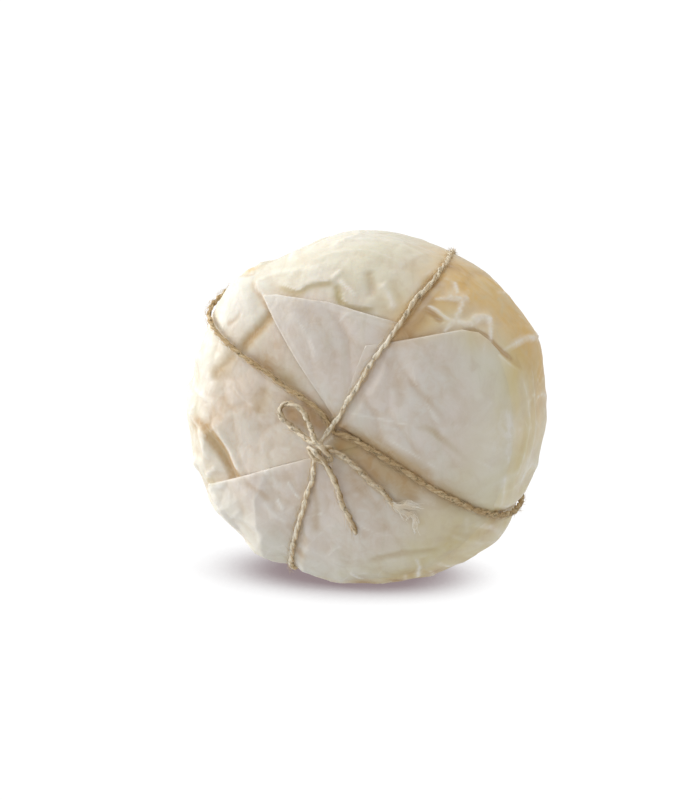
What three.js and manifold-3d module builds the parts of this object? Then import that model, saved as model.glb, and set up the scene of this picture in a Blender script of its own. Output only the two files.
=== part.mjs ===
// A round soft cheese wrapped in thin waxed paper and tied crosswise with jute twine.
// It stands on its rim like a thick wheel. The tied face looks along -Y and the plain back along +Y.
// Millimetres, +Z up, origin in the middle of the spot it rests on.

import * as THREE from 'three';
import { mergeVertices } from 'three/addons/utils/BufferGeometryUtils.js';
import Module from 'manifold-3d';

const wasm = await Module();
wasm.setup();

// Driving dimensions
const DIAMETER = 105; // across the round
const THICKNESS = 62; // from the tied face to the back
const EDGE_POWER = 3; // how square the shoulders are: 2 is an ellipsoid, 4 nearly a drum
const REST_CUT = 1.4; // how much of the rim is pressed flat where it stands
const TWINE = 1.8; // thickness of the twine
const GAP = 0.3; // between the twine and the paper
const LAYER = 0.8; // how far a folded-over corner of paper stands proud
const PLEATS = 18; // folds where the sheet is drawn in over the rim
const PLEAT_HEIGHT = 1;

// Where the twine comes onto the rim and leaves it at the back, in degrees round the axis seen from the
// tied face
const RIM_TURNS = { left: [147.5, 134], right: [-31, -31], top: [59, 64.5], bottom: [-111.5, -111.5] };

// Fineness of the faceted ball
const TURN_STEPS = 80;
const TILT_STEPS = 26;

const RADIUS = DIAMETER / 2;
const HALF = THICKNESS / 2;
const CENTRE_HEIGHT = RADIUS - REST_CUT;
const FAR = DIAMETER * 2;

const radians = THREE.MathUtils.degToRad;
const degrees = THREE.MathUtils.radToDeg;
const { smoothstep, lerp } = THREE.MathUtils;

// ---------------------------------------------------------------- the smooth ball

// The paper isn't tight: where it puffs out or is drawn in, by how much and over what width.
// turn is the angle round the axis. tilt is -90 at the tied face, 0 at the rim and 90 at the back.
const SWELLS = [
  { name: 'puff beside the left twine', turn: 134, tilt: -33, height: 2.8, width: 9 },
  { name: 'tight stretch left of the top', turn: 113, tilt: -6, height: -2.2, width: 15 },
  { name: 'flat stretch by the top twine', turn: 72, tilt: 5, height: -1.5, width: 18 },
  { name: 'corner on the upper right rim', turn: 24, tilt: 6, height: 2.3, width: 9 },
  { name: 'shoulder above the corner', turn: 41, tilt: 4, height: 0.9, width: 8 },
  { name: 'tight stretch of the right rim', turn: 5, tilt: -6, height: -1.1, width: 13 },
  { name: 'tight stretch above the right twine', turn: -20, tilt: -10, height: -1.4, width: 11 },
  { name: 'slack beside the right twine', turn: -40, tilt: -6, height: 2.3, width: 11 },
  { name: 'slack lower left rim', turn: 216, tilt: -10, height: 2.5, width: 15 },
  { name: 'slack left rim', turn: 190, tilt: -22, height: 0.8, width: 11 },
  { name: 'hollow under the right flap', turn: -5, tilt: -58, height: -0.7, width: 15 },
  { name: 'hollow on the back', turn: 110, tilt: 66, height: -0.8, width: 20 },
  { name: 'flat front of the foot', turn: 272, tilt: -18, height: -0.9, width: 13 },
];

function smoothPoint(turn, tilt) {
  const [c, s] = [Math.cos(radians(tilt)), Math.sin(radians(tilt))];
  const size = (Math.abs(c) ** EDGE_POWER + Math.abs(s) ** EDGE_POWER) ** (-1 / EDGE_POWER);
  const [radius, depth] = [RADIUS * c * size, HALF * s * size];
  const outward = (Math.abs(radius) / RADIUS) ** (EDGE_POWER - 1) / RADIUS;
  const along = (Math.sign(depth) * (Math.abs(depth) / HALF) ** (EDGE_POWER - 1)) / HALF;
  const [x, z] = [Math.cos(radians(turn)), Math.sin(radians(turn))];
  const normal = new THREE.Vector3(x * outward, along, z * outward).normalize();
  return { point: new THREE.Vector3(x * radius, depth, z * radius), normal };
}

const swells = SWELLS.map((swell) => ({ ...swell, at: smoothPoint(swell.turn, swell.tilt).point }));

function slackness(point) {
  let height = 0;
  for (const swell of swells) {
    height += swell.height * Math.exp(-((point.distanceTo(swell.at) / swell.width) ** 2));
  }
  return height;
}

// A point on the paper, lifted off it along its normal, in the part's own frame.
function onBall(turn, tilt, lift = 0) {
  const { point, normal } = smoothPoint(turn, tilt);
  const height = slackness(point) + lift;
  point.addScaledVector(normal, height);
  point.z += CENTRE_HEIGHT;
  return { point, normal };
}

// The same for a point of the tied face or the back, given by how far right and up of the middle it is.
const [TIED, BACK] = [-1, 1];
function onFace(right, up, lift = 0, side = TIED) {
  const share = Math.min(Math.hypot(right, up) / RADIUS, 0.999);
  const depth = (1 - share ** EDGE_POWER) ** (1 / EDGE_POWER);
  return onBall(degrees(Math.atan2(up, right)), side * degrees(Math.atan2(depth, share)), lift);
}

// The pleats over the rim have sharp crests, unevenly spaced and leaning. They fade out on the faces.
function pleat(turn, tilt) {
  const [t, lean] = [radians(turn), radians(tilt) * 0.5];
  const drift = 0.9 * Math.sin(2 * t + 0.6) + 0.5 * Math.sin(5 * t + lean);
  const crest = 1 - Math.abs(Math.sin((PLEATS * t) / 2 + drift + lean));
  const strength = 0.6 + 0.4 * Math.sin(3 * t + 2);
  return PLEAT_HEIGHT * crest * strength * (1 - smoothstep(Math.abs(tilt), 28, 66));
}

// ---------------------------------------------------------------- solids

// A closed three.js geometry as a manifold solid.
function toSolid(geometry) {
  const bare = geometry.clone();
  bare.deleteAttribute('normal');
  bare.deleteAttribute('uv');
  const merged = mergeVertices(bare, 1e-5);
  const corners = merged.index.array;
  const kept = [];
  for (let i = 0; i < corners.length; i += 3) {
    const [a, b, c] = corners.slice(i, i + 3);
    if (a !== b && b !== c && c !== a) kept.push(a, b, c);
  }
  const vertProperties = new Float32Array(merged.attributes.position.array);
  return new wasm.Manifold(new wasm.Mesh({ numProp: 3, vertProperties, triVerts: new Uint32Array(kept) }));
}

function toGeometry(solid) {
  const { vertProperties, triVerts } = solid.getMesh();
  const geometry = new THREE.BufferGeometry();
  geometry.setAttribute('position', new THREE.BufferAttribute(new Float32Array(vertProperties), 3));
  geometry.setIndex([...triVerts]);
  geometry.computeVertexNormals();
  return geometry;
}

// The ball as a turned shape about its axis, each vertex then lifted by lift(tilt).
function ballSolid(lift) {
  const profile = [];
  for (let i = 0; i <= TILT_STEPS; i += 1) {
    const tilt = lerp(-90, 90, i / TILT_STEPS);
    const { point } = smoothPoint(0, tilt);
    const onAxis = i === 0 || i === TILT_STEPS;
    profile.push(new THREE.Vector2(onAxis ? 0 : point.x, point.y));
  }
  const geometry = new THREE.LatheGeometry(profile, TURN_STEPS);
  const position = geometry.attributes.position;
  for (let i = 0; i < position.count; i += 1) {
    const [x, y, z] = [position.getX(i), position.getY(i), position.getZ(i)];
    const tilt = degrees(Math.atan2(y / HALF, Math.hypot(x, z) / RADIUS));
    const onAxis = Math.hypot(x, z) < 1e-6;
    const turn = onAxis ? 0 : degrees(Math.atan2(z, x));
    const { point } = onBall(turn, tilt, pleat(turn, tilt) + lift(tilt));
    position.setXYZ(i, ...point);
  }
  return toSolid(geometry);
}

// The space straight behind an outline on the tied face, down to some depth in the ball.
function behindOutline(outline, deepest) {
  const shape = new THREE.Shape(outline.map(([right, up]) => new THREE.Vector2(right, up)));
  const prism = new THREE.ExtrudeGeometry(shape, { depth: THICKNESS, bevelEnabled: false });
  return toSolid(prism.rotateX(Math.PI / 2).translate(0, deepest, CENTRE_HEIGHT));
}

// Behind its outline a flap puts more layers of paper on the tied face. Over the shoulder they thin out to
// none, because there the flap is the sheet itself. The old surface is cut away a hair inside the outline,
// and not as deep, so that old and new overlap.
const HAIR = 0.002;
const [THINS_FROM, THINS_TO] = [-54, -20];
function addFlap(paper, { outline, layers }) {
  const middle = [0, 1].map((i) => outline.reduce((sum, place) => sum + place[i] / outline.length, 0));
  const inner = outline.map((place) => place.map((value, i) => lerp(value, middle[i], HAIR)));
  const raised = ballSolid((tilt) => layers * LAYER * (1 - smoothstep(tilt, THINS_FROM, THINS_TO)));
  return paper.subtract(behindOutline(inner, -LAYER)).add(raised.intersect(behindOutline(outline, 0)));
}

// A crease is a slim four-sided spindle bent along the paper, half sunk in it.
// Added it's a ridge, taken away it's a furrow.
function creaseSolid(places, width, height) {
  const route = new THREE.CatmullRomCurve3(places.map(({ point }) => point));
  const up = new THREE.CatmullRomCurve3(places.map(({ normal }) => normal));
  const spindle = new THREE.SphereGeometry(1, 4, 6);
  const position = spindle.attributes.position;
  for (let i = 0; i < position.count; i += 1) {
    const share = THREE.MathUtils.clamp((position.getY(i) + 1) / 2, 0, 1);
    const normal = up.getPoint(share).normalize();
    const side = route.getTangent(share).cross(normal).normalize();
    const point = route.getPoint(share);
    point.addScaledVector(side, (position.getX(i) * width) / 2);
    point.addScaledVector(normal, position.getZ(i) * height);
    position.setXYZ(i, ...point);
  }
  return toSolid(spindle);
}

const union = (solids) => solids.reduce((joined, solid) => joined.add(solid));

// The cuts can leave a loose scrap of paper, which is dropped.
const largest = (solid) => solid.decompose().reduce((a, b) => (a.volume() > b.volume() ? a : b));

// ---------------------------------------------------------------- twine

// How the twine lies: on top of the paper in the middle of a face, more or less pressed into it at the rim.
const LIE_ON_FACE = 0.95;
const LIE_ON_RIM = { left: 1.5, right: 0.3, top: 0.1, bottom: 0.1 };
const OVER_ANOTHER = { left: 0, right: 0, top: TWINE * 0.85, bottom: TWINE * 0.85 };
const FACE_ROUTES = { // right and up of the middle of the tied face, from the knot outwards
  left: [[0.4, -1.6], [-4.2, 4.2], [-10.4, 8.5]],
  right: [[0.4, -1.6], [9.6, -4.9]],
  top: [[-4, -5]],
  bottom: [[-4.2, -6], [-9.5, -23.6]],
};
const BACK_CROSSING = [1.5, -1];

const LEG_STEP = TWINE * 2.4;
const BOW_STEP = TWINE * 1.1;

// A tube of twine along a smooth curve, its section turned with the curve.
function twineTube(points, thickness, step) {
  const sides = 8;
  const curve = new THREE.CatmullRomCurve3(points);
  const section = [];
  for (let i = 0; i < sides; i += 1) {
    const angle = ((i + 0.5) / sides) * Math.PI * 2;
    section.push(new THREE.Vector2(Math.cos(angle), Math.sin(angle)).multiplyScalar(thickness / 2));
  }
  const steps = Math.ceil(curve.getLength() / step);
  const shape = new THREE.Shape(section);
  return toSolid(new THREE.ExtrudeGeometry(shape, { steps, extrudePath: curve, bevelEnabled: false }));
}

// One leg of the tie: over the tied face to the rim, over the rim, and straight over the back.
function legRoute(name) {
  const steps = 7;
  const [turn, backTurn] = RIM_TURNS[name];
  const edge = (angle) => [0.93 * RADIUS * Math.cos(radians(angle)), 0.93 * RADIUS * Math.sin(radians(angle))];
  const across = (side, places) => {
    const route = new THREE.CatmullRomCurve3(places.map(([right, up]) => new THREE.Vector3(right, up, 0)));
    return Array.from({ length: steps + 1 }, (_, i) => {
      const share = i / steps;
      const { x, y } = route.getPoint(share);
      const lie = lerp(LIE_ON_FACE, LIE_ON_RIM[name], smoothstep(share, 0.5, 1));
      return onFace(x, y, lie + OVER_ANOTHER[name] * (1 - smoothstep(share, 0, 0.3)), side).point;
    });
  };
  const over = [-22, 0, 22].map((tilt) => {
    const share = (tilt + 32) / 64;
    return onBall(lerp(turn, backTurn, share), tilt, LIE_ON_RIM[name]).point;
  });
  const onTied = across(TIED, [...FACE_ROUTES[name], edge(turn)]);
  return [...onTied, ...over, ...across(BACK, [BACK_CROSSING, edge(backTurn)]).reverse()];
}

const LEGS = Object.keys(FACE_ROUTES).map(legRoute);

// The slip knot, its bow loop and its two ends are one run of twine, lying loosely on the folded corners.
// Each place is right, up and how far the middle of the twine stands off the paper.
const BOW_LIFT = 0.35;
const BOW_ROUTE = [
  [18.0, -21.6, 1.8], [16.4, -20.2, 1.7], [14.0, -16.8, 1.9], [10.8, -14.4, 1.7], [7.1, -10.9, 1.8],
  [3.9, -8.4, 2.1], [0.2, -6.2, 3.0], [-3.2, -4.6, 4.3], [-6.6, -3.4, 3.3], [-9.6, -1.9, 1.8],
  [-13.4, 0.1, 1.4], [-15.6, 3.2, 1.4], [-14.6, 5.8, 1.5], [-11.8, 6.0, 1.6], [-9.0, 4.6, 2.0],
  [-6.8, 1.4, 2.8], [-4.8, -2.6, 4.3], [-1.8, -5.2, 4.7], [-0.4, -8.2, 3.2], [-2.6, -9.6, 1.9],
  [-5.4, -8.4, 1.9], [-6.6, -5.8, 2.8], [-4.6, -6.4, 4.5], [-2.2, -8.8, 3.6], [-0.6, -12.4, 2.3],
  [1.3, -18.4, 1.9], [3.7, -24.4, 1.7], [6.2, -30.2, 1.7],
];

const BOW = BOW_ROUTE.map(([right, up, lift]) => onFace(right, up, lift + BOW_LIFT).point);

// All runs of the twine, joined where they cross and are knotted. The room it needs is the same, but wider.
const twineSolid = (thickness) =>
  union([...LEGS.map((leg) => twineTube(leg, thickness, LEG_STEP)), twineTube(BOW, thickness, BOW_STEP)]);

// ---------------------------------------------------------------- paper

// The corners of the sheet that are folded over the tied face, as right and up of its middle.
// Their hidden edges lie under the twine.
const BEYOND = RADIUS * 1.2;
const FLAPS = [
  {
    name: 'top corner',
    layers: 1,
    outline: [[-1.3, 4.5], [-23.4, 35.4], [-12, 37.4], [-2.9, 35.2], [7.3, 34.6], [21, 35], [3, 2]],
  },
  {
    name: 'right corner',
    layers: 2,
    outline: [
      [-1, -1], [8.8, 23.8], [33.8, 27.9], [39.4, 25.4], [49, 15.4], [BEYOND, 6], [BEYOND, -37.7], [9.6, -4.3],
    ],
  },
  {
    name: 'bottom corner',
    layers: 1,
    outline: [
      [3, -3.6], [-6.4, -8.9], [-12.6, -10.9], [-18.9, -13], [-42.5, -21.7], [-BEYOND, -29.3],
      [-BEYOND, -BEYOND], [BEYOND, -BEYOND], [BEYOND, -38.9], [9.6, -5.5],
    ],
  },
];

// Single creases on the tied face: from, to, width and height, where a furrow's height is below zero.
const CREASES = [
  { name: 'deep furrow on the left', from: [-42, -2.4], to: [-31.6, -18.4], width: 4, height: -1 },
  { name: 'furrow above the left twine', from: [-20.4, 32.4], to: [-30.6, 21], width: 3.8, height: -0.9 },
  { name: 'fold above the top corner', from: [-24, 40], to: [-5, 40.6], width: 4, height: 0.9 },
  { name: 'furrow above the top corner', from: [-14, 38.6], to: [2, 36.2], width: 3, height: -0.8 },
  { name: 'star crease, left arm', from: [23, 34.6], to: [33, 30.6], width: 2.4, height: 0.7 },
  { name: 'star crease, upper arm', from: [30.6, 29.6], to: [33.2, 37.2], width: 2.4, height: 0.7 },
  { name: 'star crease, right arm', from: [31, 30.2], to: [40.4, 32.4], width: 2.2, height: 0.6 },
  { name: 'crumple at the bottom', from: [0, -41.4], to: [24, -37.6], width: 3, height: -0.7 },
  { name: 'soft fold on the left', from: [-24, 9], to: [-26.5, -6], width: 5, height: 0.7 },
  { name: 'soft fold in the right corner', from: [31, 2], to: [41, -11], width: 4.6, height: -0.8 },
  { name: 'fold down the right shoulder', from: [45.4, 10], to: [46.6, -14], width: 3.6, height: 0.8 },
];

function faceCrease({ from, to, width, height }) {
  const places = [0, 0.5, 1].map((share) =>
    onFace(lerp(from[0], to[0], share), lerp(from[1], to[1], share), LAYER / 2),
  );
  return creaseSolid(places, width, Math.abs(height) + LAYER / 2);
}

function wrappedCheeseSolid() {
  const folded = FLAPS.reduce(addFlap, ballSolid(() => 0));
  const ridges = CREASES.filter(({ height }) => height > 0).map(faceCrease);
  const furrows = CREASES.filter(({ height }) => height < 0).map(faceCrease);
  const floor = toSolid(new THREE.BoxGeometry(FAR, FAR, FAR).translate(0, 0, -FAR / 2));
  const paper = union([folded, ...ridges]);
  return largest(paper.subtract(union([...furrows, twineSolid(TWINE + 2 * GAP), floor])));
}

// ---------------------------------------------------------------- the part

function namedMesh(name, solid, color, roughness) {
  const material = new THREE.MeshStandardMaterial({ color, roughness, metalness: 0 });
  const mesh = new THREE.Mesh(toGeometry(solid), material);
  mesh.name = name;
  return mesh;
}

const part = new THREE.Group();
part.add(namedMesh('wrapped_cheese', wrappedCheeseSolid(), 0xd8ccae, 0.62));
part.add(namedMesh('twine', twineSolid(TWINE), 0xb4966a, 0.9));

export default part;
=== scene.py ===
import math

import bpy
import numpy as np
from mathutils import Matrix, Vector, kdtree


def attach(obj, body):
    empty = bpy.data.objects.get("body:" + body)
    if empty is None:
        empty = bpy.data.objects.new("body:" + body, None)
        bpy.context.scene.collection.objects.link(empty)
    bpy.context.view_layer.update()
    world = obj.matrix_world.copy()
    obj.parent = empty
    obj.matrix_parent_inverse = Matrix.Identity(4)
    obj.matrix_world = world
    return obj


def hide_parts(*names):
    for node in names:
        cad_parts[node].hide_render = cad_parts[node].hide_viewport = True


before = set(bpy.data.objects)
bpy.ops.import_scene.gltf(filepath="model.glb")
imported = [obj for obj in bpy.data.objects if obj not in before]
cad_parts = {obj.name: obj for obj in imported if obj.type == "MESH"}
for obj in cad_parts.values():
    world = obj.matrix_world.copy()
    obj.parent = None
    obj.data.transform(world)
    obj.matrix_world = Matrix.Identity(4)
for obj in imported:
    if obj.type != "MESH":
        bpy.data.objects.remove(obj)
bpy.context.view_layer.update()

# ---------------------------------------------------------------- camera
# A long lens a little above the ball and to the right of the way its tied face looks.
# Sizes in this script are millimetres and are made metres where an object takes its shape.
MM = 0.001
AZIMUTH = math.radians(17.5)
ELEVATION = math.radians(11.5)
DISTANCE = 600
LENS, SENSOR = 91, 36
AIM = Vector((-5.06, -1.22, 52.84))

backwards = Vector((
    math.sin(AZIMUTH) * math.cos(ELEVATION),
    -math.cos(AZIMUTH) * math.cos(ELEVATION),
    math.sin(ELEVATION),
))
bpy.ops.object.camera_add(
    location=(AIM + DISTANCE * backwards) * MM,
    rotation=(math.pi / 2 - ELEVATION, 0, AZIMUTH),
)
camera = bpy.context.object
camera.data.lens = LENS
camera.data.sensor_width = SENSOR
bpy.context.scene.camera = camera

# ---------------------------------------------------------------- wrapped cheese
# A soft round cheese in one sheet of thin waxed paper, standing on its rim. The sheet is laid smooth over
# the back, gathered over the rim in pleats and folded over the tied face. The twine presses into it.
RADIUS = 52.5
HALF = 31.0  # half the thickness
SHOULDER = 3.0  # how square the shoulders are: 2 is an ellipsoid, 4 nearly a drum
CENTRE_HEIGHT = 51.1
TWINE = 1.8  # how thick the twine is
TIED, BACK = -1, 1  # the side of the ball along the axis


def unit(vectors):
    """Vectors made one long."""
    return vectors / np.maximum(np.linalg.norm(vectors, axis=-1, keepdims=True), 1e-9)


def smoothstep(value, start, end):
    """0 up to the start, 1 from the end, and smooth between them."""
    share = np.clip((np.asarray(value, float) - start) / (end - start), 0, 1)
    return share * share * (3 - 2 * share)


def lerp(a, b, share):
    return a + (b - a) * share


def smooth_ball(turn, tilt):
    """Places and outward normals on the smooth ball, about its centre. turn goes round the axis, and tilt
    from -90 at the tied face through 0 at the rim to 90 at the back."""
    turn, tilt = np.radians(turn), np.radians(tilt)
    c, s = np.cos(tilt), np.sin(tilt)
    size = (np.abs(c) ** SHOULDER + np.abs(s) ** SHOULDER) ** (-1 / SHOULDER)
    radius, depth = RADIUS * c * size, HALF * s * size
    outward = (np.abs(radius) / RADIUS) ** (SHOULDER - 1) / RADIUS
    along = np.sign(depth) * (np.abs(depth) / HALF) ** (SHOULDER - 1) / HALF
    place = np.stack([np.cos(turn) * radius, depth, np.sin(turn) * radius], -1)
    return place, unit(np.stack([np.cos(turn) * outward, along, np.sin(turn) * outward], -1))


def face_angles(right, up, side=TIED):
    """The turn and tilt of a place of the tied face or the back, given right and up of its middle."""
    share = np.minimum(np.hypot(right, up) / RADIUS, 0.9995)
    depth = (1 - share**SHOULDER) ** (1 / SHOULDER)
    return np.degrees(np.arctan2(up, right)), side * np.degrees(np.arctan2(depth, share))


# Where the paper puffs out or is drawn in: turn, tilt, height and width
SWELLS = {
    "puff beside the left twine": (134, -33, 2.8, 9),
    "tight stretch left of the top": (113, -6, -2.2, 15),
    "flat stretch by the top twine": (72, 5, -1.5, 18),
    "corner on the upper right rim": (24, 6, 2.3, 9),
    "shoulder above the corner": (41, 4, 0.9, 8),
    "tight stretch of the right rim": (5, -6, -1.1, 13),
    "tight stretch above the right twine": (-20, -10, -1.4, 11),
    "slack beside the right twine": (-40, -6, 2.3, 11),
    "slack lower left rim": (216, -10, 2.5, 15),
    "slack left rim": (190, -22, 0.8, 11),
    "hollow under the right flap": (-5, -58, -0.7, 15),
    "hollow on the back": (110, 66, -0.8, 20),
    "flat front of the foot": (272, -18, -0.9, 13),
    "nub above the puff": (127, -24, 0.8, 2.2),
}


def slackness(places):
    """How far the paper puffs out over the smooth ball, below 0 where it is drawn in."""
    height = np.zeros(len(places))
    for turn, tilt, most, width in SWELLS.values():
        middle, _ = smooth_ball(turn, tilt)
        height += most * np.exp(-((np.linalg.norm(places - middle, axis=1) / width) ** 2))
    return height


PLEATS = 18
PLEAT_HEIGHT = 1.0
TIGHTEST = 48  # the turn about which the rim is drawn tight
TAUT = 0.25  # what is left of its pleats and creases there


def tautness(turn, tilt):
    """How much of the pleats and creases is left. The sheet is drawn tight at the top and the right."""
    from_tight = np.abs((turn - TIGHTEST + 180) % 360 - 180)
    return lerp(TAUT, 1.0, np.maximum(smoothstep(from_tight, 75, 120), smoothstep(tilt, 15, 45)))


def pleats(turn, tilt):
    """Sharp-crested pleats over the rim, unevenly spaced and leaning. They fade out on the faces."""
    t, lean = np.radians(turn), np.radians(tilt) * 0.5
    drift = 0.9 * np.sin(2 * t + 0.6) + 0.5 * np.sin(5 * t + lean)
    crest = 1 - np.abs(np.sin(PLEATS * t / 2 + drift + lean))
    strength = 0.6 + 0.4 * np.sin(3 * t + 2)
    return PLEAT_HEIGHT * crest * strength * (1 - smoothstep(np.abs(tilt), 28, 66)) * tautness(turn, tilt)


# ---- where the twine runs, because the paper gives way under it
LIE_ON_FACE = 0.95  # how high the middle of the twine lies over the smooth ball
LIE_ON_RIM = {"left": 1.5, "right": 0.3, "top": 0.1, "bottom": 0.1}
FACE_ROUTES = {  # places on the tied face as right and up of its middle, from the knot outwards
    "left": [(0.4, -1.6), (-4.2, 4.2), (-10.4, 8.5)],
    "right": [(0.4, -1.6), (9.6, -4.9)],
    "top": [(-4.0, -5.0)],
    "bottom": [(-4.2, -6.0), (-9.5, -23.6)],
}
RIM_TURNS = {"left": (147.5, 134), "right": (-31, -31), "top": (59, 64.5), "bottom": (-111.5, -111.5)}
OVER_ANOTHER = {"left": 0, "right": 0, "top": 1, "bottom": 1}
CROSSING = 0.85  # how far a strand that crosses another is lifted, in thicknesses of the twine
BACK_CROSSING = (1.5, -1)
SHOULDER_AT = 0.93  # how far out the routes over the faces end, as a share of the radius
BOW_LIFT = 0.35  # how far the crumpled paper stands over the smooth ball under the bow
ROUTE_STEP = 0.3
BOW_ROUTE = [  # right, up and how high over the paper: an end, the loop, the knot and the other end
    (18.0, -21.6, 1.8), (16.4, -20.2, 1.7), (14.0, -16.8, 1.9), (10.8, -14.4, 1.7), (7.1, -10.9, 1.8),
    (3.9, -8.4, 2.1), (0.2, -6.2, 3.0), (-3.2, -4.6, 4.3), (-6.6, -3.4, 3.3), (-9.6, -1.9, 1.8),
    (-13.4, 0.1, 1.4), (-15.6, 3.2, 1.4), (-14.6, 5.8, 1.5), (-11.8, 6.0, 1.6), (-9.0, 4.6, 2.0),
    (-6.8, 1.4, 2.8), (-4.8, -2.6, 4.3), (-1.8, -5.2, 4.7), (-0.4, -8.2, 3.2), (-2.6, -9.6, 1.9),
    (-5.4, -8.4, 1.9), (-6.6, -5.8, 2.8), (-4.6, -6.4, 4.5), (-2.2, -8.8, 3.6), (-0.6, -12.4, 2.3),
    (1.3, -18.4, 1.9), (3.7, -24.4, 1.7), (6.2, -30.2, 1.7),
]


def lifted(turn, tilt, lift):
    """Places over the ball with its slack, lifted along the normal, and those normals."""
    place, normal = smooth_ball(turn, tilt)
    return place + normal * (slackness(place) + lift)[:, None], normal


def resample(places, extra, step):
    """The places of a line put a step apart, with the columns of extra carried along."""
    length = np.concatenate([[0], np.cumsum(np.linalg.norm(np.diff(places, axis=0), axis=1))])
    even = np.linspace(0, length[-1], int(length[-1] / step) + 1)
    both = np.column_stack([places, extra])
    return np.column_stack([np.interp(even, length, column) for column in both.T])


def catmull_rom(points, steps):
    """A smooth line through all the points, with that many steps from each to the next."""
    points = np.asarray(points, float)
    before, after = 2 * points[0] - points[1], 2 * points[-1] - points[-2]
    padded = np.vstack([before, points, after])
    t = np.linspace(0, 1, steps, endpoint=False)[:, None]
    pieces = []
    for a, b, c, d in zip(padded, padded[1:], padded[2:], padded[3:]):
        square = 2 * a - 5 * b + 4 * c - d
        cube = 3 * b - a - 3 * c + d
        pieces.append(0.5 * (2 * b + (c - a) * t + square * t**2 + cube * t**3))
    return np.vstack([*pieces, points[-1:]])


def bow_route():
    """The bow's places, normals and lifts."""
    points = np.array(BOW_ROUTE)
    turn, tilt = face_angles(points[:, 0], points[:, 1])
    places, normals = lifted(turn, tilt, points[:, 2] + BOW_LIFT)
    both = catmull_rom(np.column_stack([places, normals, points[:, 2] + BOW_LIFT]), 24)
    return resample(both[:, :3], both[:, 3:], ROUTE_STEP)


def leg_route(name):
    """One leg: over the tied face, over the rim and over the back, as places, normals and lifts."""
    turn, back_turn = RIM_TURNS[name]
    ends = np.radians((turn, back_turn))
    edge, back_edge = [SHOULDER_AT * RADIUS * np.array([math.cos(a), math.sin(a)]) for a in ends]
    over = OVER_ANOTHER[name] * TWINE * CROSSING

    def across(points, side):
        right, up = catmull_rom(points, 40).T
        share = np.linspace(0, 1, len(right))
        lie = lerp(LIE_ON_FACE, LIE_ON_RIM[name], smoothstep(share, 0.5, 1))
        return [*face_angles(right, up, side), lie + over * (1 - smoothstep(share, 0, 0.3))]

    face = across([*FACE_ROUTES[name], edge], TIED)
    back = across([BACK_CROSSING, back_edge], BACK)
    tilts = np.linspace(face[1][-1], back[1][-1], 40)[1:-1]
    over_rim = np.full(len(tilts), LIE_ON_RIM[name])
    turns = lerp(turn, back_turn, (tilts - tilts[0]) / (tilts[-1] - tilts[0]))
    turns = np.concatenate([face[0], turns, back[0][::-1]])
    tilts = np.concatenate([face[1], tilts, back[1][::-1]])
    lifts = np.concatenate([face[2], over_rim, back[2][::-1]])
    places, normals = lifted(turns, tilts, lifts)
    return resample(places, np.column_stack([normals, lifts]), ROUTE_STEP)


LEGS = {name: leg_route(name) for name in FACE_ROUTES}
BOW = bow_route()

pressing = np.vstack(list(LEGS.values()))
twine_tree = kdtree.KDTree(len(pressing))
for index, sample in enumerate(pressing):
    twine_tree.insert(sample[:3] - sample[3:6] * sample[6], index)
twine_tree.balance()

DIP_FROM, DIP_SLOPE, DIP_BEND = 0.5, 0.36, 1.15  # how the paper rises again beside the twine


def give_way(places, height, below):
    """Paper near the twine goes down to its underside, less what lies between, and rises away from it."""
    found = [twine_tree.find(place) for place in places]
    index = np.array([item[1] for item in found])
    away = np.array([item[2] for item in found])
    under = pressing[index, 6] - TWINE / 2 - below
    allowed = under + DIP_SLOPE * np.maximum(away - DIP_FROM, 0) ** DIP_BEND
    gap = height - allowed
    soft = 0.35
    pressed = np.where(gap < soft, (gap + soft) ** 2 / (4 * soft), gap)
    return height - np.where(gap > -soft, pressed, 0)


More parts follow.
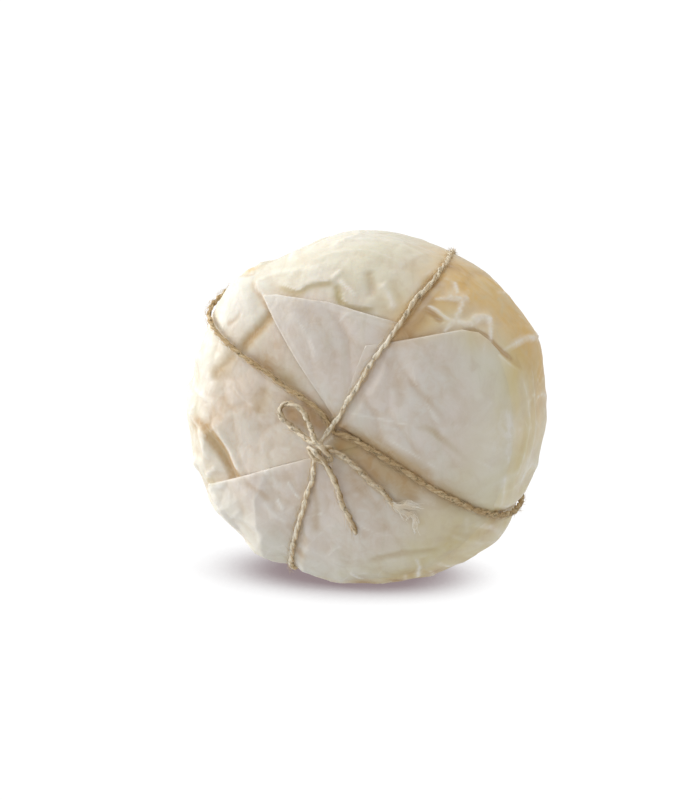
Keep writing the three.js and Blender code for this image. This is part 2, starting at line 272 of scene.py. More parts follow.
# ---- folds and creases. Each has its places on the tied face as right and up of the middle, or round the
# rim as turn and tilt, with its half width, its height, how pale the cracked wax is, and how brown and how
# olive its shade. The base is the sheet that lies on the cheese itself, and some folds run through all.
FOLDS = {
    "base": [
        ([(-43, -1.6), (-41, -4.2), (-37.2, -8.6), (-34.3, -13.2), (-31.8, -18.2), (-29.8, -22)],
         2.9, -0.9, 0, 1.7, 0.9),
        ([(-37.4, -2.5), (-34.4, -8), (-32, -13), (-30.2, -17)], 2.0, 0.5, 0.8, 0, 0),
        ([(-44, -4), (-42, -9), (-40, -14)], 2.6, 0.5, 0.4, 0, 0),
        ([(-17.4, 34.4), (-19.4, 31.6), (-23, 27.5), (-26.4, 23.8), (-30.6, 18.4)],
         2.6, -0.5, 0, 0.75, 0.8),
        ([(-34.6, 38.2), (-31.6, 38.8), (-29.2, 39.6), (-27.4, 41.4)], 1.1, -0.3, 0, 0.35, 0),
        ([(-35.2, 26), (-34, 26.8), (-31.4, 28.2), (-30, 30.4), (-29.8, 31.6)],
         1.0, -0.2, 0, 0.55, 0.1),
        ([(-25, 19), (-18.5, 15), (-10, 11)], 3.6, -0.15, 0, 0.3, 0.35),
        ([(-20.6, 11), (-22.4, 6.3), (-24, 1)], 3.4, -0.25, 0, 0.25, 0.25),
        ([(-30, 20), (-35.6, 14.7), (-40.4, 10.2)], 3.6, -0.3, 0, 0.6, 0.5),
        ([(-43, -20.5), (-41.5, -18.2), (-37.6, -14.8)], 1.1, 0.45, 0.8, 0, 0),
        ([(-24, 41.5), (-14, 43), (-4, 44)], 2.6, 0.3, 0.1, 0, 0),
        ([(-3, 40.8), (-2.3, 41.9), (-0.5, 44)], 0.9, 0.4, 1.0, 0, 0),
        ([(-1.6, 40.4), (-0.6, 38), (1.2, 34.4)], 1.5, -0.3, 0, 0, 0.9),
        ([(-1.3, 41.5), (2.7, 38.8), (5.4, 36.6)], 1.0, 0.35, 0.6, 0, 0),
        ([(11.1, 41.3), (13.6, 38.1), (16.5, 33.3)], 2.6, 0.45, 0.6, 0, 0),
        ([(7, 44.5), (8.6, 40), (9.4, 36.4)], 2.2, -0.4, 0, 0.2, 0.4),
        ([(24.4, 35.2), (27.4, 33.6), (30.3, 31.4), (32.2, 30.9)], 0.9, 0.35, 1.1, 0, 0),
        ([(23.6, 34.4), (26.6, 32.6), (29.4, 30.2)], 1.2, -0.25, 0, 1.1, 0.3),
        ([(26, 36.6), (28.8, 36.7), (32.6, 36)], 0.8, 0.3, 0.9, 0, 0),
        ([(32.2, 30.9), (33.4, 34.8), (33, 37.6)], 0.9, 0.4, 0.9, 0, 0),
        ([(32.2, 30.9), (35.9, 29.6), (37.2, 31.4), (40.3, 30.9)], 0.9, 0.4, 0.9, 0, 0),
        ([(40.2, 31.6), (41.2, 27), (41.9, 23)], 0.9, 0.35, 0.7, 0, 0),
        ([(32.4, 31.2), (31, 29.6), (29.6, 27.6)], 0.8, 0.3, 1.1, 0, 0),
        ([(30.2, 40.8), (31.9, 37.2)], 0.8, 0.2, 0.7, 0, 0),
        ([(33.6, 28.7), (38.3, 27.6), (41.2, 25.4), (44.7, 21.8), (47.6, 18.8)],
         1.0, -0.3, 0, 1.4, 1.0),
    ],
    "top corner": [
        ([(0.5, 28.8), (1.3, 31), (4.4, 32.6), (8.3, 32.5), (11.5, 31.4)], 0.6, 0.12, 0.9, 0, 0),
        ([(-16, 33), (-9, 27), (-4, 18)], 3, 0.4, 0.15, 0, 0),
        ([(-8, 34), (-2, 25), (1.4, 15)], 3, -0.3, 0, 0.15, 0),
    ],
    "right corner": [
        ([(-1, 0.6), (9.6, -3.6), (18, -8), (27, -13.4)], 4.0, 0, 0, 0.4, 0.3),
        ([(22, 1.9), (26.3, 1.6), (30, -0.9), (33.6, -4), (37.1, -7.3), (41.5, -11.6)],
         1.4, -0.25, 0, 0.2, 0.45),
        ([(21, 16), (24.9, 11), (28.7, 7.3), (32.4, 2.4)], 2.0, -0.25, 0, 0.5, 0),
        ([(14, 22), (18, 15), (20.5, 6)], 2.4, -0.3, 0, 0.25, 0),
        ([(30, 22), (33, 14), (36.5, 8)], 2.4, -0.3, 0, 0.3, 0.2),
        ([(14, -1), (22, -5.4), (31, -11)], 2.6, 0.3, 0.3, 0, 0),
        ([(2.8, 5.1), (13, 3.6), (24.5, 2)], 0.5, 0.06, 0.5, 0, 0),
        ([(3.2, 7.5), (7.4, 16), (9.6, 21.6)], 1.8, 0.1, 0.45, 0, 0),
        ([(22, 21), (24, 12), (31, 2)], 3, 0.35, 0.15, 0, 0),
        ([(38, 19), (39.5, 8), (38.6, -2)], 3, 0.4, 0.2, 0, 0),
    ],
    "bottom corner": [
        ([(0, -6.6), (10, -10.2), (19, -14.6), (27, -19)], 6.0, 0, 0, 0.6, 0.3),
        ([(-6.6, -15.6), (-6.3, -20), (-5.8, -24), (-6.4, -29), (-7, -33)], 1.6, -0.12, 0, 0.6, 0.3),
        ([(-28.4, -18.4), (-26, -19), (-22.6, -20.8), (-19.6, -23.6)], 1.3, -0.25, 0, 0.7, 0),
        ([(-14.5, -16), (-12.8, -19), (-10.5, -22)], 0.8, 0.2, 0.6, 0, 0),
        ([(-21.9, -22.4), (-19.6, -25.9), (-14.3, -29.5)], 1.6, 0.4, 0.6, 0, 0),
        ([(-18, -22), (-15.7, -25.5)], 1.4, 0.25, 0.4, 0, 0),
        ([(-28, -19), (-27, -27), (-22, -35)], 6, 0.12, 0, 0, 0),
        ([(4, -26), (12, -30), (22, -31)], 3, 0.35, 0.1, 0, 0),
    ],
    "all": [
        ([(-6, 1), (1.5, -2.4), (9.8, -5.4), (18.4, -9.8), (28.4, -16.2), (40, -24)],
         6.0, 0, 0, 0.55, 0.6),
        ([(46.2, 8.3), (47.4, -1.8), (46.6, -11.7)], 3.4, 0.5, 0.15, 0, 0.2),
        ([(46, -12), (45.5, -18.8), (43.8, -24.8)], 2.4, 0.4, 0.3, 0, 0),
        ([(36.4, -24.4), (35.8, -30.4)], 1.8, 0.1, 0.1, 0, 0),
        ([(-42.7, -23.7), (-37.7, -26.6), (-34.7, -33), (-32.2, -37.5)], 2.2, 0.7, 0.2, 0.3, 0),
        ([(-44, -24.4), (-40.4, -22.3), (-35, -20.2)], 1.2, 0.2, 1.3, 0, 0),
        ([(6.9, -40), (15.2, -37), (24.3, -35.4), (30, -35)], 1.8, -0.3, 0, 0.15, 0.35),
        ([(21.4, -37.2), (22, -41), (19.9, -46.4)], 0.9, 0.4, 0.6, 0, 0),
        ([(2.1, -42.6), (3.1, -45.2), (4.7, -48.1)], 0.9, 0.4, 0.6, 0, 0),
    ],
}
RIM_FOLDS = [
    ([(26, -31), (26, -8), (24.5, 12), (28, 30)], 0.7, 0.5, 0.9, 0, 0),
    ([(66, 24), (50, 26), (40, 26), (27, 25)], 5.0, 0, 0, 0.7, 0.2),
    ([(124, -24), (125, -4)], 2.6, 1.0, 0.2, 0.3, 0),
    ([(50, -30), (52, 0), (47, 26)], 2.4, -0.2, 0, 0.3, 0),
    ([(98, -34), (92, -10), (97, 18)], 2.2, 0.3, 0.3, 0, 0),
    ([(110, -36), (113, -8), (106, 20)], 2.6, 0.4, 0.3, 0, 0),
    ([(62, -21), (80, -16), (100, -24)], 2.2, 0.3, 0.16, 0, 0),
    ([(68, -34), (86, -31), (106, -37)], 2.2, 0.3, 0.16, 0, 0.2),
    ([(60, -8), (84, -4), (110, -12)], 2.2, 0.25, 0.16, 0, 0),
    ([(20, -24), (0, -20), (-22, -27)], 3.0, 0.4, 0.12, 0, 0.1),
    ([(16, -12), (-4, -7), (-25, -15)], 3.0, 0.3, 0.1, 0, 0.1),
    ([(160, -42), (164, -12), (158, 16)], 2.4, 0.7, 0.4, 0, 0),
    ([(177, -36), (172, -6), (178, 22)], 2.4, 0.6, 0.4, 0.2, 0),
    ([(196, -38), (202, -12), (196, 14)], 2.2, 0.7, 0.4, 0, 0),
    ([(-20, -14), (-16, 0), (-21, 30)], 2.4, 0.4, 0.2, 0, 0),
    ([(4, -10), (7, 4), (2, 34)], 2.6, 0.4, 0.2, 0, 0),
]
# Folds of the base that lie flat, steep on the right of the way they run, with the widths of the steep and
# the gentle side, the height, and how pale, brown and olive
LAPS = [
    ([(-20.7, 38.9), (-17.4, 38.9), (-12.9, 38.1), (-9.7, 39.8), (-5.1, 40.8), (-2.4, 40.9),
      (-0.9, 38.7)],
     0.9, 4.0, 0.4, 0.15, 0.2, 0.8),
    ([(-27.2, 39.4), (-25.6, 37.3), (-22.9, 35.3), (-19.6, 32)], 0.7, 4.0, 0.5, 0.4, 0.4, 0),
    ([(41, 27), (39.6, 31.1), (35.7, 29.5), (33, 31.2)], 3.0, 1.0, 0.5, 0.5, 0, 0),
    ([(35, 36), (31.4, 36.8), (28.6, 37.4)], 3.4, 1.0, 0.5, 0.4, 0, 0),
    ([(-0.9, 38.7), (-0.2, 36.9), (2.2, 35.6), (5.5, 34.7), (11.3, 34.6)],
     0.8, 3.0, 0.3, 0.1, 0.2, 0.8),
]
FACETED = 0.7  # how far the sheet is crumpled on the faces, against 1 at the rim
BALL_AREA = 26000  # square millimetres


def ball_places(random, count):
    """Places spread at random over the smooth ball."""
    way = unit(random.normal(size=(count, 3)))
    turn, tilt = np.arctan2(way[:, 2], way[:, 0]), np.arcsin(way[:, 1])
    return smooth_ball(np.degrees(turn), np.degrees(tilt))[0]


def facets(places, spacing, slope, seed, along=None, stretch=1.0):
    """The height of a crumpled sheet: nearly flat facets that meet in sharp valleys, the facets stretched
    along a way where one is given."""
    random = np.random.default_rng(seed)
    middles = ball_places(random, int(BALL_AREA / spacing**2 / stretch))
    if along is not None:
        along = unit(np.array(along, float))
        shorten = np.eye(3) - (1 - 1 / stretch) * np.outer(along, along)
        places, middles = places @ shorten, middles @ shorten
    lean = random.normal(0, slope, (len(middles), 3))
    bend = spacing * 2.6  # radius of the humps that the facets are cut from
    planes = (lean + middles / bend).T
    offsets = -(lean * middles).sum(1) - (middles**2).sum(1) / (2 * bend)
    height = np.empty(len(places))
    at_once = 8000
    for start in range(0, len(places), at_once):
        part = slice(start, start + at_once)
        height[part] = (places[part] @ planes + offsets).max(1)
    height -= (places**2).sum(1) / (2 * bend)
    return height - np.median(height)


def along_line(places, line, reach):
    """How far places are from a line of points, on which side, and how far along it, for those in reach."""
    middle = line.mean(0)
    size = np.linalg.norm(line - middle, axis=1).max() + reach
    near = np.nonzero(np.linalg.norm(places - middle, axis=1) < size)[0]
    best = np.full(len(near), 1e9)
    side = np.zeros(len(near))
    share = np.zeros(len(near))
    lengths = np.linalg.norm(np.diff(line, axis=0), axis=1)
    done = 0.0
    for a, b, length in zip(line, line[1:], lengths):
        step = b - a
        t = np.clip((places[near] - a) @ step / length**2, 0, 1)
        gap = places[near] - a - t[:, None] * step
        far = np.linalg.norm(gap, axis=1)
        closer = far < best
        across = unit(np.cross(step, a + b)[None])[0]
        best = np.where(closer, far, best)
        side = np.where(closer, gap @ across, side)
        share = np.where(closer, (done + t * length) / lengths.sum(), share)
        done += length
    return near, best, side, share


def taper(share, ends=0.22):
    """How far a fold has its full size at a share of its length: it runs out at both ends."""
    return smoothstep(share, 0, ends) * (1 - smoothstep(share, 1 - ends, 1))


def surface_line(points, on_rim=False):
    """A smooth line over the ball through places given as a fold's are."""
    points = catmull_rom(points, 4)
    turn, tilt = (points[:, 0], points[:, 1]) if on_rim else face_angles(points[:, 0], points[:, 1])
    return smooth_ball(turn, tilt)[0]


RIM_LAP_COUNT = 44
SMALL_CREASE_COUNT = 150
ON_FACE_FROM, ON_FACE_SHARE = 44, 0.4  # the tilt from which creases are on a face, and what is left of them


def rim_laps():
    """Folds that lie flat over the rim, each with a steep and a long gentle side, as lines and sizes."""
    random = np.random.default_rng(11)
    rows = []
    for number in range(RIM_LAP_COUNT):
        turn = number * 360 / RIM_LAP_COUNT + random.uniform(-4, 4)
        middle, half_length = random.uniform(-22, 22), random.uniform(14, 36)
        lean = random.uniform(-9, 9)
        line = surface_line([(turn + lean * k, middle + half_length * k) for k in (-1, -0.3, 0.4, 1)], True)
        steep, gentle, height = random.uniform(0.7, 1.3), random.uniform(3, 8), random.uniform(0.25, 0.75)
        rows.append((line, steep, gentle, height, random.choice([-1, 1]), random.uniform(0.1, 0.7)))
    return rows


def small_creases():
    """Short straight creases all over, the most of them on the rim and the shoulders."""
    random = np.random.default_rng(23)
    rows = []
    for middle in ball_places(random, SMALL_CREASE_COUNT):
        turn = math.degrees(math.atan2(middle[2], middle[0]))
        tilt = math.degrees(math.atan2(middle[1] / HALF, math.hypot(middle[0], middle[2]) / RADIUS))
        heading, length = math.radians(random.uniform(0, 360)), random.uniform(4, 13)
        normal = smooth_ball(turn, tilt)[1]
        first = unit(np.cross(normal, (0.3, 0.8, 0.5)))
        way = math.cos(heading) * first + math.sin(heading) * np.cross(normal, first)
        bow = np.cross(normal, way) * random.uniform(-1, 1)
        line = np.array([middle - way * length / 2, middle + bow, middle + way * length / 2])
        width, height = random.uniform(0.7, 1.6), random.uniform(0.12, 0.4) * random.choice([-1, 1, 1])
        left = ON_FACE_SHARE if abs(tilt) > ON_FACE_FROM else 1
        rows.append((line, width, height, random.uniform(0.0, 0.3), left * float(tautness(turn, tilt))))
    return rows


RIM_LAPS = rim_laps()
SMALL_CREASES = small_creases()
THINNEST_IN_FRONT, THINNEST_BEHIND = 0.36, 0.75  # half the width of the thinnest line the mesh can carry


def crease(places, marks, line, width, height, pale, brown=0, olive=0):
    """Adds one fold's height and marks to those of the places."""
    near, away, _, share = along_line(places, line, width * 2.2)
    ends = taper(share)
    marks["height"][near] += height * ends * np.maximum(1 - away / width, 0) ** 1.2
    behind = smoothstep(places[near, 1], -27, -8)
    line_width = np.maximum(width * 0.38, lerp(THINNEST_IN_FRONT, THINNEST_BEHIND, behind))
    marks["pale"][near] += pale * ends * np.exp(-((away / line_width) ** 2))
    shade = ends * np.exp(-((away / (width * 0.7)) ** 2))
    marks["brown"][near] += brown * shade
    marks["olive"][near] += olive * shade


def lap_slopes(signed, steep, gentle):
    """The height of a fold that lies flat, against 1 at its edge."""
    return np.maximum(np.where(signed > 0, 1 - signed / steep, 1 + signed / gentle), 0)


def lap(places, marks, line, steep, gentle, height, pale, brown, olive):
    """A fold that lies flat, with its shade at the foot of the steep side."""
    near, away, side, share = along_line(places, line, max(steep, gentle) + 1)
    signed = away * np.sign(side)
    size = taper(share)
    marks["height"][near] += height * size * lap_slopes(signed, steep, gentle)
    marks["pale"][near] += pale * size * np.exp(-(((signed + 0.3) / 0.7) ** 2))
    foot = size * np.exp(-(((signed - steep) / 1.2) ** 2))
    marks["brown"][near] += brown * foot
    marks["olive"][near] += olive * foot


WRINKLES = {  # the way the long soft wrinkles of a sheet run, the seed of their places, and their size
    "top corner": ((0.45, 0, -1), 31, 0.65),
    "right corner": ((0.55, 0, -1), 32, 1.1),
    "bottom corner": ((0.9, 0, -1), 33, 0.65),
}


def relief(turn, tilt, sheet, open_to_view=1.0):
    """The folds of a sheet at those angles: its height over the smooth ball, and how pale, brown and olive
    it is. Its own folds are drawn only so far as it is open to view."""
    places, _ = smooth_ball(turn, tilt)
    marks = {name: np.zeros(len(places)) for name in ("height", "pale", "brown", "olive")}
    rough = lerp(1.0, FACETED, smoothstep(np.abs(tilt), 34, 62)) * tautness(turn, tilt)
    marks["height"] += slackness(places) + pleats(turn, tilt)
    big = facets(places, spacing=11, slope=0.09, seed=5)
    small = facets(places, spacing=5.5, slope=0.07, seed=6)
    turned = -facets(places, spacing=9, slope=0.09, seed=7)
    mix = 0.5 + 0.5 * np.sin(places @ (0.06, 0.05, 0.045) + 1.3 * np.sin(places @ (0.03, -0.05, 0.07)))
    marks["height"] += rough * (0.6 * lerp(big, turned, mix) + 0.3 * small)
    if sheet in WRINKLES:
        along, seed, size = WRINKLES[sheet]
        marks["height"] += size * facets(places, 6.5, 0.10, seed, along, stretch=2.4)
    for line, steep, gentle, height, steep_side, pale in RIM_LAPS:
        near, away, side, share = along_line(places, line, gentle)
        signed = away * np.sign(side) * steep_side
        size = taper(share) * tautness(turn[near], tilt[near])
        marks["height"][near] += height * size * lap_slopes(signed, steep, gentle)
        marks["pale"][near] += 0.6 * pale * size * np.exp(-((away / 0.7) ** 2))
    for line, width, height, pale, quiet in SMALL_CREASES:
        crease(places, marks, line, width, height * quiet, pale * quiet)
    own = {name: np.zeros(len(places)) for name in marks}
    for on, folded in ((sheet, own), ("all", marks)):
        for points, *sizes in FOLDS[on]:
            crease(places, folded, surface_line(points), *sizes)
    for points, *sizes in RIM_FOLDS:
        crease(places, marks, surface_line(points, True), *sizes)
    for points, *sizes in LAPS if sheet == "base" else []:
        lap(places, own, surface_line(points), *sizes)
    return {name: marks[name] + own[name] * open_to_view for name in marks}


# ---- the corners folded over the tied face: outlines as right and up of its middle, layers of paper, which
# edges are free folds, and which of those are bright
LAYER = 0.8  # the paper with the air that it holds
THINS_FROM, THINS_TO = -54, -20
CORNERS = {
    "top corner": dict(
        outline=[(0.6, 1.8), (19.0, 32.0), (7.3, 34.6), (-2.9, 35.2), (-12, 37.4), (-23.4, 35.4)],
        layers=1,
        free=(1, 2, 3, 4, 5),
        bright=(3, 4, 5),
    ),
    "right corner": dict(
        outline=[
            (0.4, 1.6), (8.8, 23.8), (34.2, 28.3), (38.2, 27.3), (41.0, 25.1), (70, -4.6), (70, -43.6),
        ],
        layers=2,
        free=(0, 1, 2, 3, 4),
        bright=(0, 1),
    ),
    "bottom corner": dict(
        outline=[
            (9.1, -3.9), (-6.4, -8.9), (-12.6, -10.9), (-18.9, -13.0), (-42.5, -21.7), (-56, -60),
            (60, -60), (70, -40),
        ],
        layers=1,
        free=(1, 2, 3, 4),
        bright=(1, 2, 3),
    ),
}


def edge_lines(outline):
    """For each edge of an outline, a place on it and the way inwards."""
    points = np.array(outline, float)
    middle = points.mean(0)
    rows = []
    for a, b in zip(points, np.roll(points, -1, axis=0)):
        inwards = np.array([a[1] - b[1], b[0] - a[0]])
        inwards /= np.linalg.norm(inwards)
        rows.append((a, inwards if (middle - a) @ inwards > 0 else -inwards))
    return rows


def inside_by(outline, right, up, only=None):
    """How far places are inside an outline, or inside some of its edges."""
    gaps = [(right - a[0]) * n[0] + (up - a[1]) * n[1] for a, n in edge_lines(outline)]
    return np.min([gap for i, gap in enumerate(gaps) if only is None or i in only], axis=0)


# Where the base comes up to the bottom corner beside the knot
BESIDE_KNOT = [(-6.8, -9.6), (-6.4, -8.2), (0.4, -0.6), (14, -7.2), (10, -8)]


def corner_lift(tilt, layers):
    """A corner's layers thin out over the shoulder, where it is the sheet itself."""
    return layers * LAYER * (1 - smoothstep(tilt, THINS_FROM, THINS_TO))


# ---- how the paper looks
class Socket:
    """A shader value that takes part in Python sums."""

    def __init__(self, material, socket):
        self.material, self.socket = material, socket

    def maths(self, operation, *values):
        return self.material.node("ShaderNodeMath", {"operation": operation}, dict(enumerate(values)))

    def __add__(self, other):
        return self.maths("ADD", self, other)

    def __sub__(self, other):
        return self.maths("SUBTRACT", self, other)

    def __rsub__(self, other):
        return self.maths("SUBTRACT", other, self)

    def __mul__(self, other):
        return self.maths("MULTIPLY", self, other)

    __radd__, __rmul__ = __add__, __mul__

    def clamped(self):
        return self.material.node("ShaderNodeClamp", {}, {"Value": self})


class Material:
    """A material whose nodes are made by one method."""

    def __init__(self, name, data=None):
        self.data = data or bpy.data.materials.new(name)
        self.data.use_nodes = True
        self.tree = self.data.node_tree
        self.shader = self.tree.nodes["Background" if data else "Principled BSDF"]

    def node(self, kind, settings, inputs, output=0):
        """A node of a kind, with its settings, then the values or links of its sockets."""
        made = self.tree.nodes.new(kind)
        for name, value in settings.items():
            setattr(made, name, value)
        for name, value in inputs.items():
            self.feed(made.inputs[name], value)
        return Socket(self, made.outputs[output])

    def feed(self, socket, value):
        if isinstance(value, Socket):
            self.tree.links.new(value.socket, socket)
        elif isinstance(value, tuple) and len(value) == 3 and socket.type == "RGBA":
            socket.default_value = (*value, 1)
        else:
            socket.default_value = value

    def set(self, **inputs):
        for name, value in inputs.items():
            self.feed(self.shader.inputs[name.replace("_", " ")], value)

    def mix(self, a, b, share):
        """Colours mixed. The node has sockets of the same names for other kinds of data, all disabled."""
        inputs = {"A": a, "B": b, "Factor": share}
        made = self.tree.nodes.new("ShaderNodeMix")
        made.data_type = "RGBA"
        for socket in made.inputs:
            wanted = inputs.get(socket.name)
            if wanted is not None and socket.enabled:
                self.feed(socket, wanted)
        return Socket(self, next(out for out in made.outputs if out.enabled))

    def attribute(self, name):
        return self.node("ShaderNodeAttribute", {"attribute_name": name}, {}, "Fac")

    def noise(self, where, scale, detail=3.0, roughness=0.5, distortion=0.0):
        inputs = {"Vector": where, "Scale": scale, "Detail": detail, "Roughness": roughness}
        return self.node("ShaderNodeTexNoise", {}, {**inputs, "Distortion": distortion}, "Fac")

    def cells(self, where, scale):
        """How far a place is from the edge of its cell of a cracked pattern."""
        settings = {"feature": "DISTANCE_TO_EDGE"}
        return self.node("ShaderNodeTexVoronoi", settings, {"Vector": where, "Scale": scale}, "Distance")

    def spread(self, value, low, high):
        """A value stretched so that low gives 0 and high gives 1."""
        inputs = {"Value": value, "From Min": low, "From Max": high}
        return self.node("ShaderNodeMapRange", {"interpolation_type": "SMOOTHSTEP"}, inputs)


CREAM, CREAM_CLOUDS = (0.84, 0.81, 0.70), (0.80, 0.77, 0.63)
PINK, PINK_CLOUDS, PINK_BLOTS = (0.79, 0.69, 0.60), (0.79, 0.73, 0.64), (0.73, 0.61, 0.49)
STAINED, STREAKED, CRACKED_WAX_AND_HIGHLIGHT = (0.62, 0.49, 0.34), (0.64, 0.58, 0.42), (0.92, 0.87, 0.78)
KHAKI, WARM, OLIVE, BROWN = (0.70, 0.59, 0.30), (0.77, 0.49, 0.15), (0.50, 0.43, 0.20), (0.51, 0.315, 0.135)


def waxed_paper():
    """Thin waxed paper: cream where it lies on the cheese, greyer and pinker where it stands off it, pale
    along cracked creases and in painted highlights, with painted brown and olive shade in deep folds and
    beside the twine, and warm where the cheese shows through."""
    paper = Material("waxed paper")
    where = paper.node("ShaderNodeTexCoord", {}, {}, "Object")
    clouds = paper.spread(paper.noise(where, 75, 3, 0.5, 0.5), 0.36, 0.66)
    blots = paper.spread(paper.noise(where, 230, 3, 0.6, 0.8), 0.38, 0.66)
    cream = paper.mix(CREAM, CREAM_CLOUDS, clouds)
    pink = paper.mix(PINK, PINK_CLOUDS, clouds)
    pink = paper.mix(pink, PINK_BLOTS, blots * 0.6)
    colour = paper.mix(cream, pink, paper.attribute("double").clamped())
    colour = paper.mix(colour, KHAKI, (paper.attribute("khaki") * (0.6 + 0.4 * clouds)).clamped())
    warm = paper.attribute("warm") * (0.72 + 0.28 * paper.spread(paper.noise(where, 110, 2), 0.3, 0.62))
    colour = paper.mix(colour, WARM, (warm * 0.95).clamped())
    stains = paper.spread(paper.noise(where, 95, 5, 0.6, 1.2), 0.48, 0.72)
    colour = paper.mix(colour, STAINED, stains * 0.34)
    drawn_out = {"Vector": where, "Rotation": (0.0, 0.35, 0.0), "Scale": (2.2, 1.0, 0.5)}
    drawn = paper.node("ShaderNodeMapping", {}, drawn_out)
    streaks = paper.spread(paper.noise(drawn, 120, 4, 0.6, 0.6), 0.5, 0.72)
    colour = paper.mix(colour, STREAKED, streaks * 0.3)
    # olive and brown are painted shade: in folds and hollows, beside the twine and the knot, and round the
    # foot
    colour = paper.mix(colour, OLIVE, (paper.attribute("olive") * 0.85).clamped())
    brown = paper.attribute("brown") * (0.75 + 0.35 * blots)
    colour = paper.mix(colour, BROWN, (brown * 0.85).clamped())
    # pale is cracked wax, and painted highlights on humps, on lit bumps and along the folded edges of the
    # corners
    pale = paper.attribute("pale") * (0.6 + 0.5 * blots)
    colour = paper.mix(colour, CRACKED_WAX_AND_HIGHLIGHT, (pale * 0.8).clamped())
    fibres = paper.noise(where, 1500, 4, 0.7)
    crinkle = paper.spread(paper.cells(where, 210.0), 0.0, 0.35)
    fine = paper.spread(paper.cells(where, 520.0), 0.0, 0.4)
    height = crinkle * 0.5 + fine * 0.2 + fibres * 0.12
    bump = paper.node("ShaderNodeBump", {}, {"Strength": 0.35, "Distance": 0.0004, "Height": height})
    roughness = 0.46 + 0.2 * blots
    paper.set(Base_Color=colour, Roughness=roughness, Normal=bump)
    paper.set(Subsurface_Weight=0.12, Subsurface_Radius=(1.0, 0.7, 0.4), Subsurface_Scale=0.003)
    return paper.data


PAPER = waxed_paper()


# ---- the mesh of a sheet of paper, and what is marked on it
def deselect_all():
    if bpy.context.object and bpy.context.object.mode != "OBJECT":
        bpy.ops.object.mode_set(mode="OBJECT")
    bpy.ops.object.select_all(action="DESELECT")


def coordinates(mesh):
    """The places of a mesh's vertices, as they stand in it."""
    flat = np.empty(len(mesh.vertices) * 3)
    mesh.vertices.foreach_get("co", flat)
    return flat.reshape(-1, 3)


def set_coordinates(mesh, places):
    mesh.vertices.foreach_set("co", (places * MM).ravel())
    mesh.update()


def set_marks(mesh, marks):
    """Gives the marks to the mesh as attributes that the paper's material reads."""
    for name in ("pale", "brown", "olive", "warm", "khaki", "double"):
        layer = mesh.attributes.new(name, "FLOAT", "POINT")
        layer.data.foreach_set("value", np.clip(marks[name], 0, 1))


CRACKS_AT, CRACKS_AT_ON_CORNER = 0.06, 0.035  # the bend from one vertex to the next that cracks the wax
DEEP_HOLLOW = 0.16
LEVELLINGS = 24  # how often the relief is levelled out to find the height about a hollow


def mark_relief(mesh, marks, height, crack):
    """Bends sharper than crack turn pale, ridges more than valleys. Painted shade in hollows, light on
    humps.
    """
    ends = np.empty(len(mesh.edges) * 2, dtype=int)
    mesh.edges.foreach_get("vertices", ends)
    a, b = ends.reshape(-1, 2).T
    count = np.maximum(np.bincount(a, minlength=len(height)) + np.bincount(b, minlength=len(height)), 1)

    def neighbours(value):
        total = np.bincount(a, value[b], len(value)) + np.bincount(b, value[a], len(value))
        return total / count

    bend = neighbours(height) - height
    marks["pale"] += 0.6 * np.clip(-bend / crack - 0.25, 0, 1) + 0.2 * np.clip(bend / crack - 0.4, 0, 1)
    level = height
    for _ in range(LEVELLINGS):
        level = 0.5 * (level + neighbours(level))
    hollow = np.clip((level - height) / DEEP_HOLLOW, -1, 1)
    # painted brown shade in the hollows and a painted highlight on the humps
    marks["brown"] += 0.3 * np.maximum(hollow, 0)
    marks["pale"] += 0.25 * np.maximum(-hollow, 0)


SHADE_SIDE = np.array([1.7, 0, -0.5])  # the painted shade lies more on the right of the twine than on its left
# how strong the painted shade of each leg of the twine is on the paper beside it
TWINE_SHADE_PAINTED = {"left": 0.15, "right": 0.1, "top": 0.05, "bottom": 0.0}
painted_twine_shade = np.repeat([TWINE_SHADE_PAINTED[name] for name in LEGS], [len(leg) for leg in LEGS.values()])


def mark_twine(places, marks):
    """Paper beside the twine is drawn down to the cheese; the brown added here is the twine's shade,
    painted.
    """
    found = [twine_tree.find(place) for place in places]
    away = np.array([item[2] for item in found])
    aside = np.array([twine_tree.find(place - SHADE_SIDE)[2] for place in places])
    strength = painted_twine_shade[[item[1] for item in found]]
    marks["brown"] += strength * np.exp(-((np.maximum(away - 0.8, 0) / 0.9) ** 2))
    marks["brown"] += strength * np.exp(-((np.maximum(aside - 0.6, 0) / 1.6) ** 2))


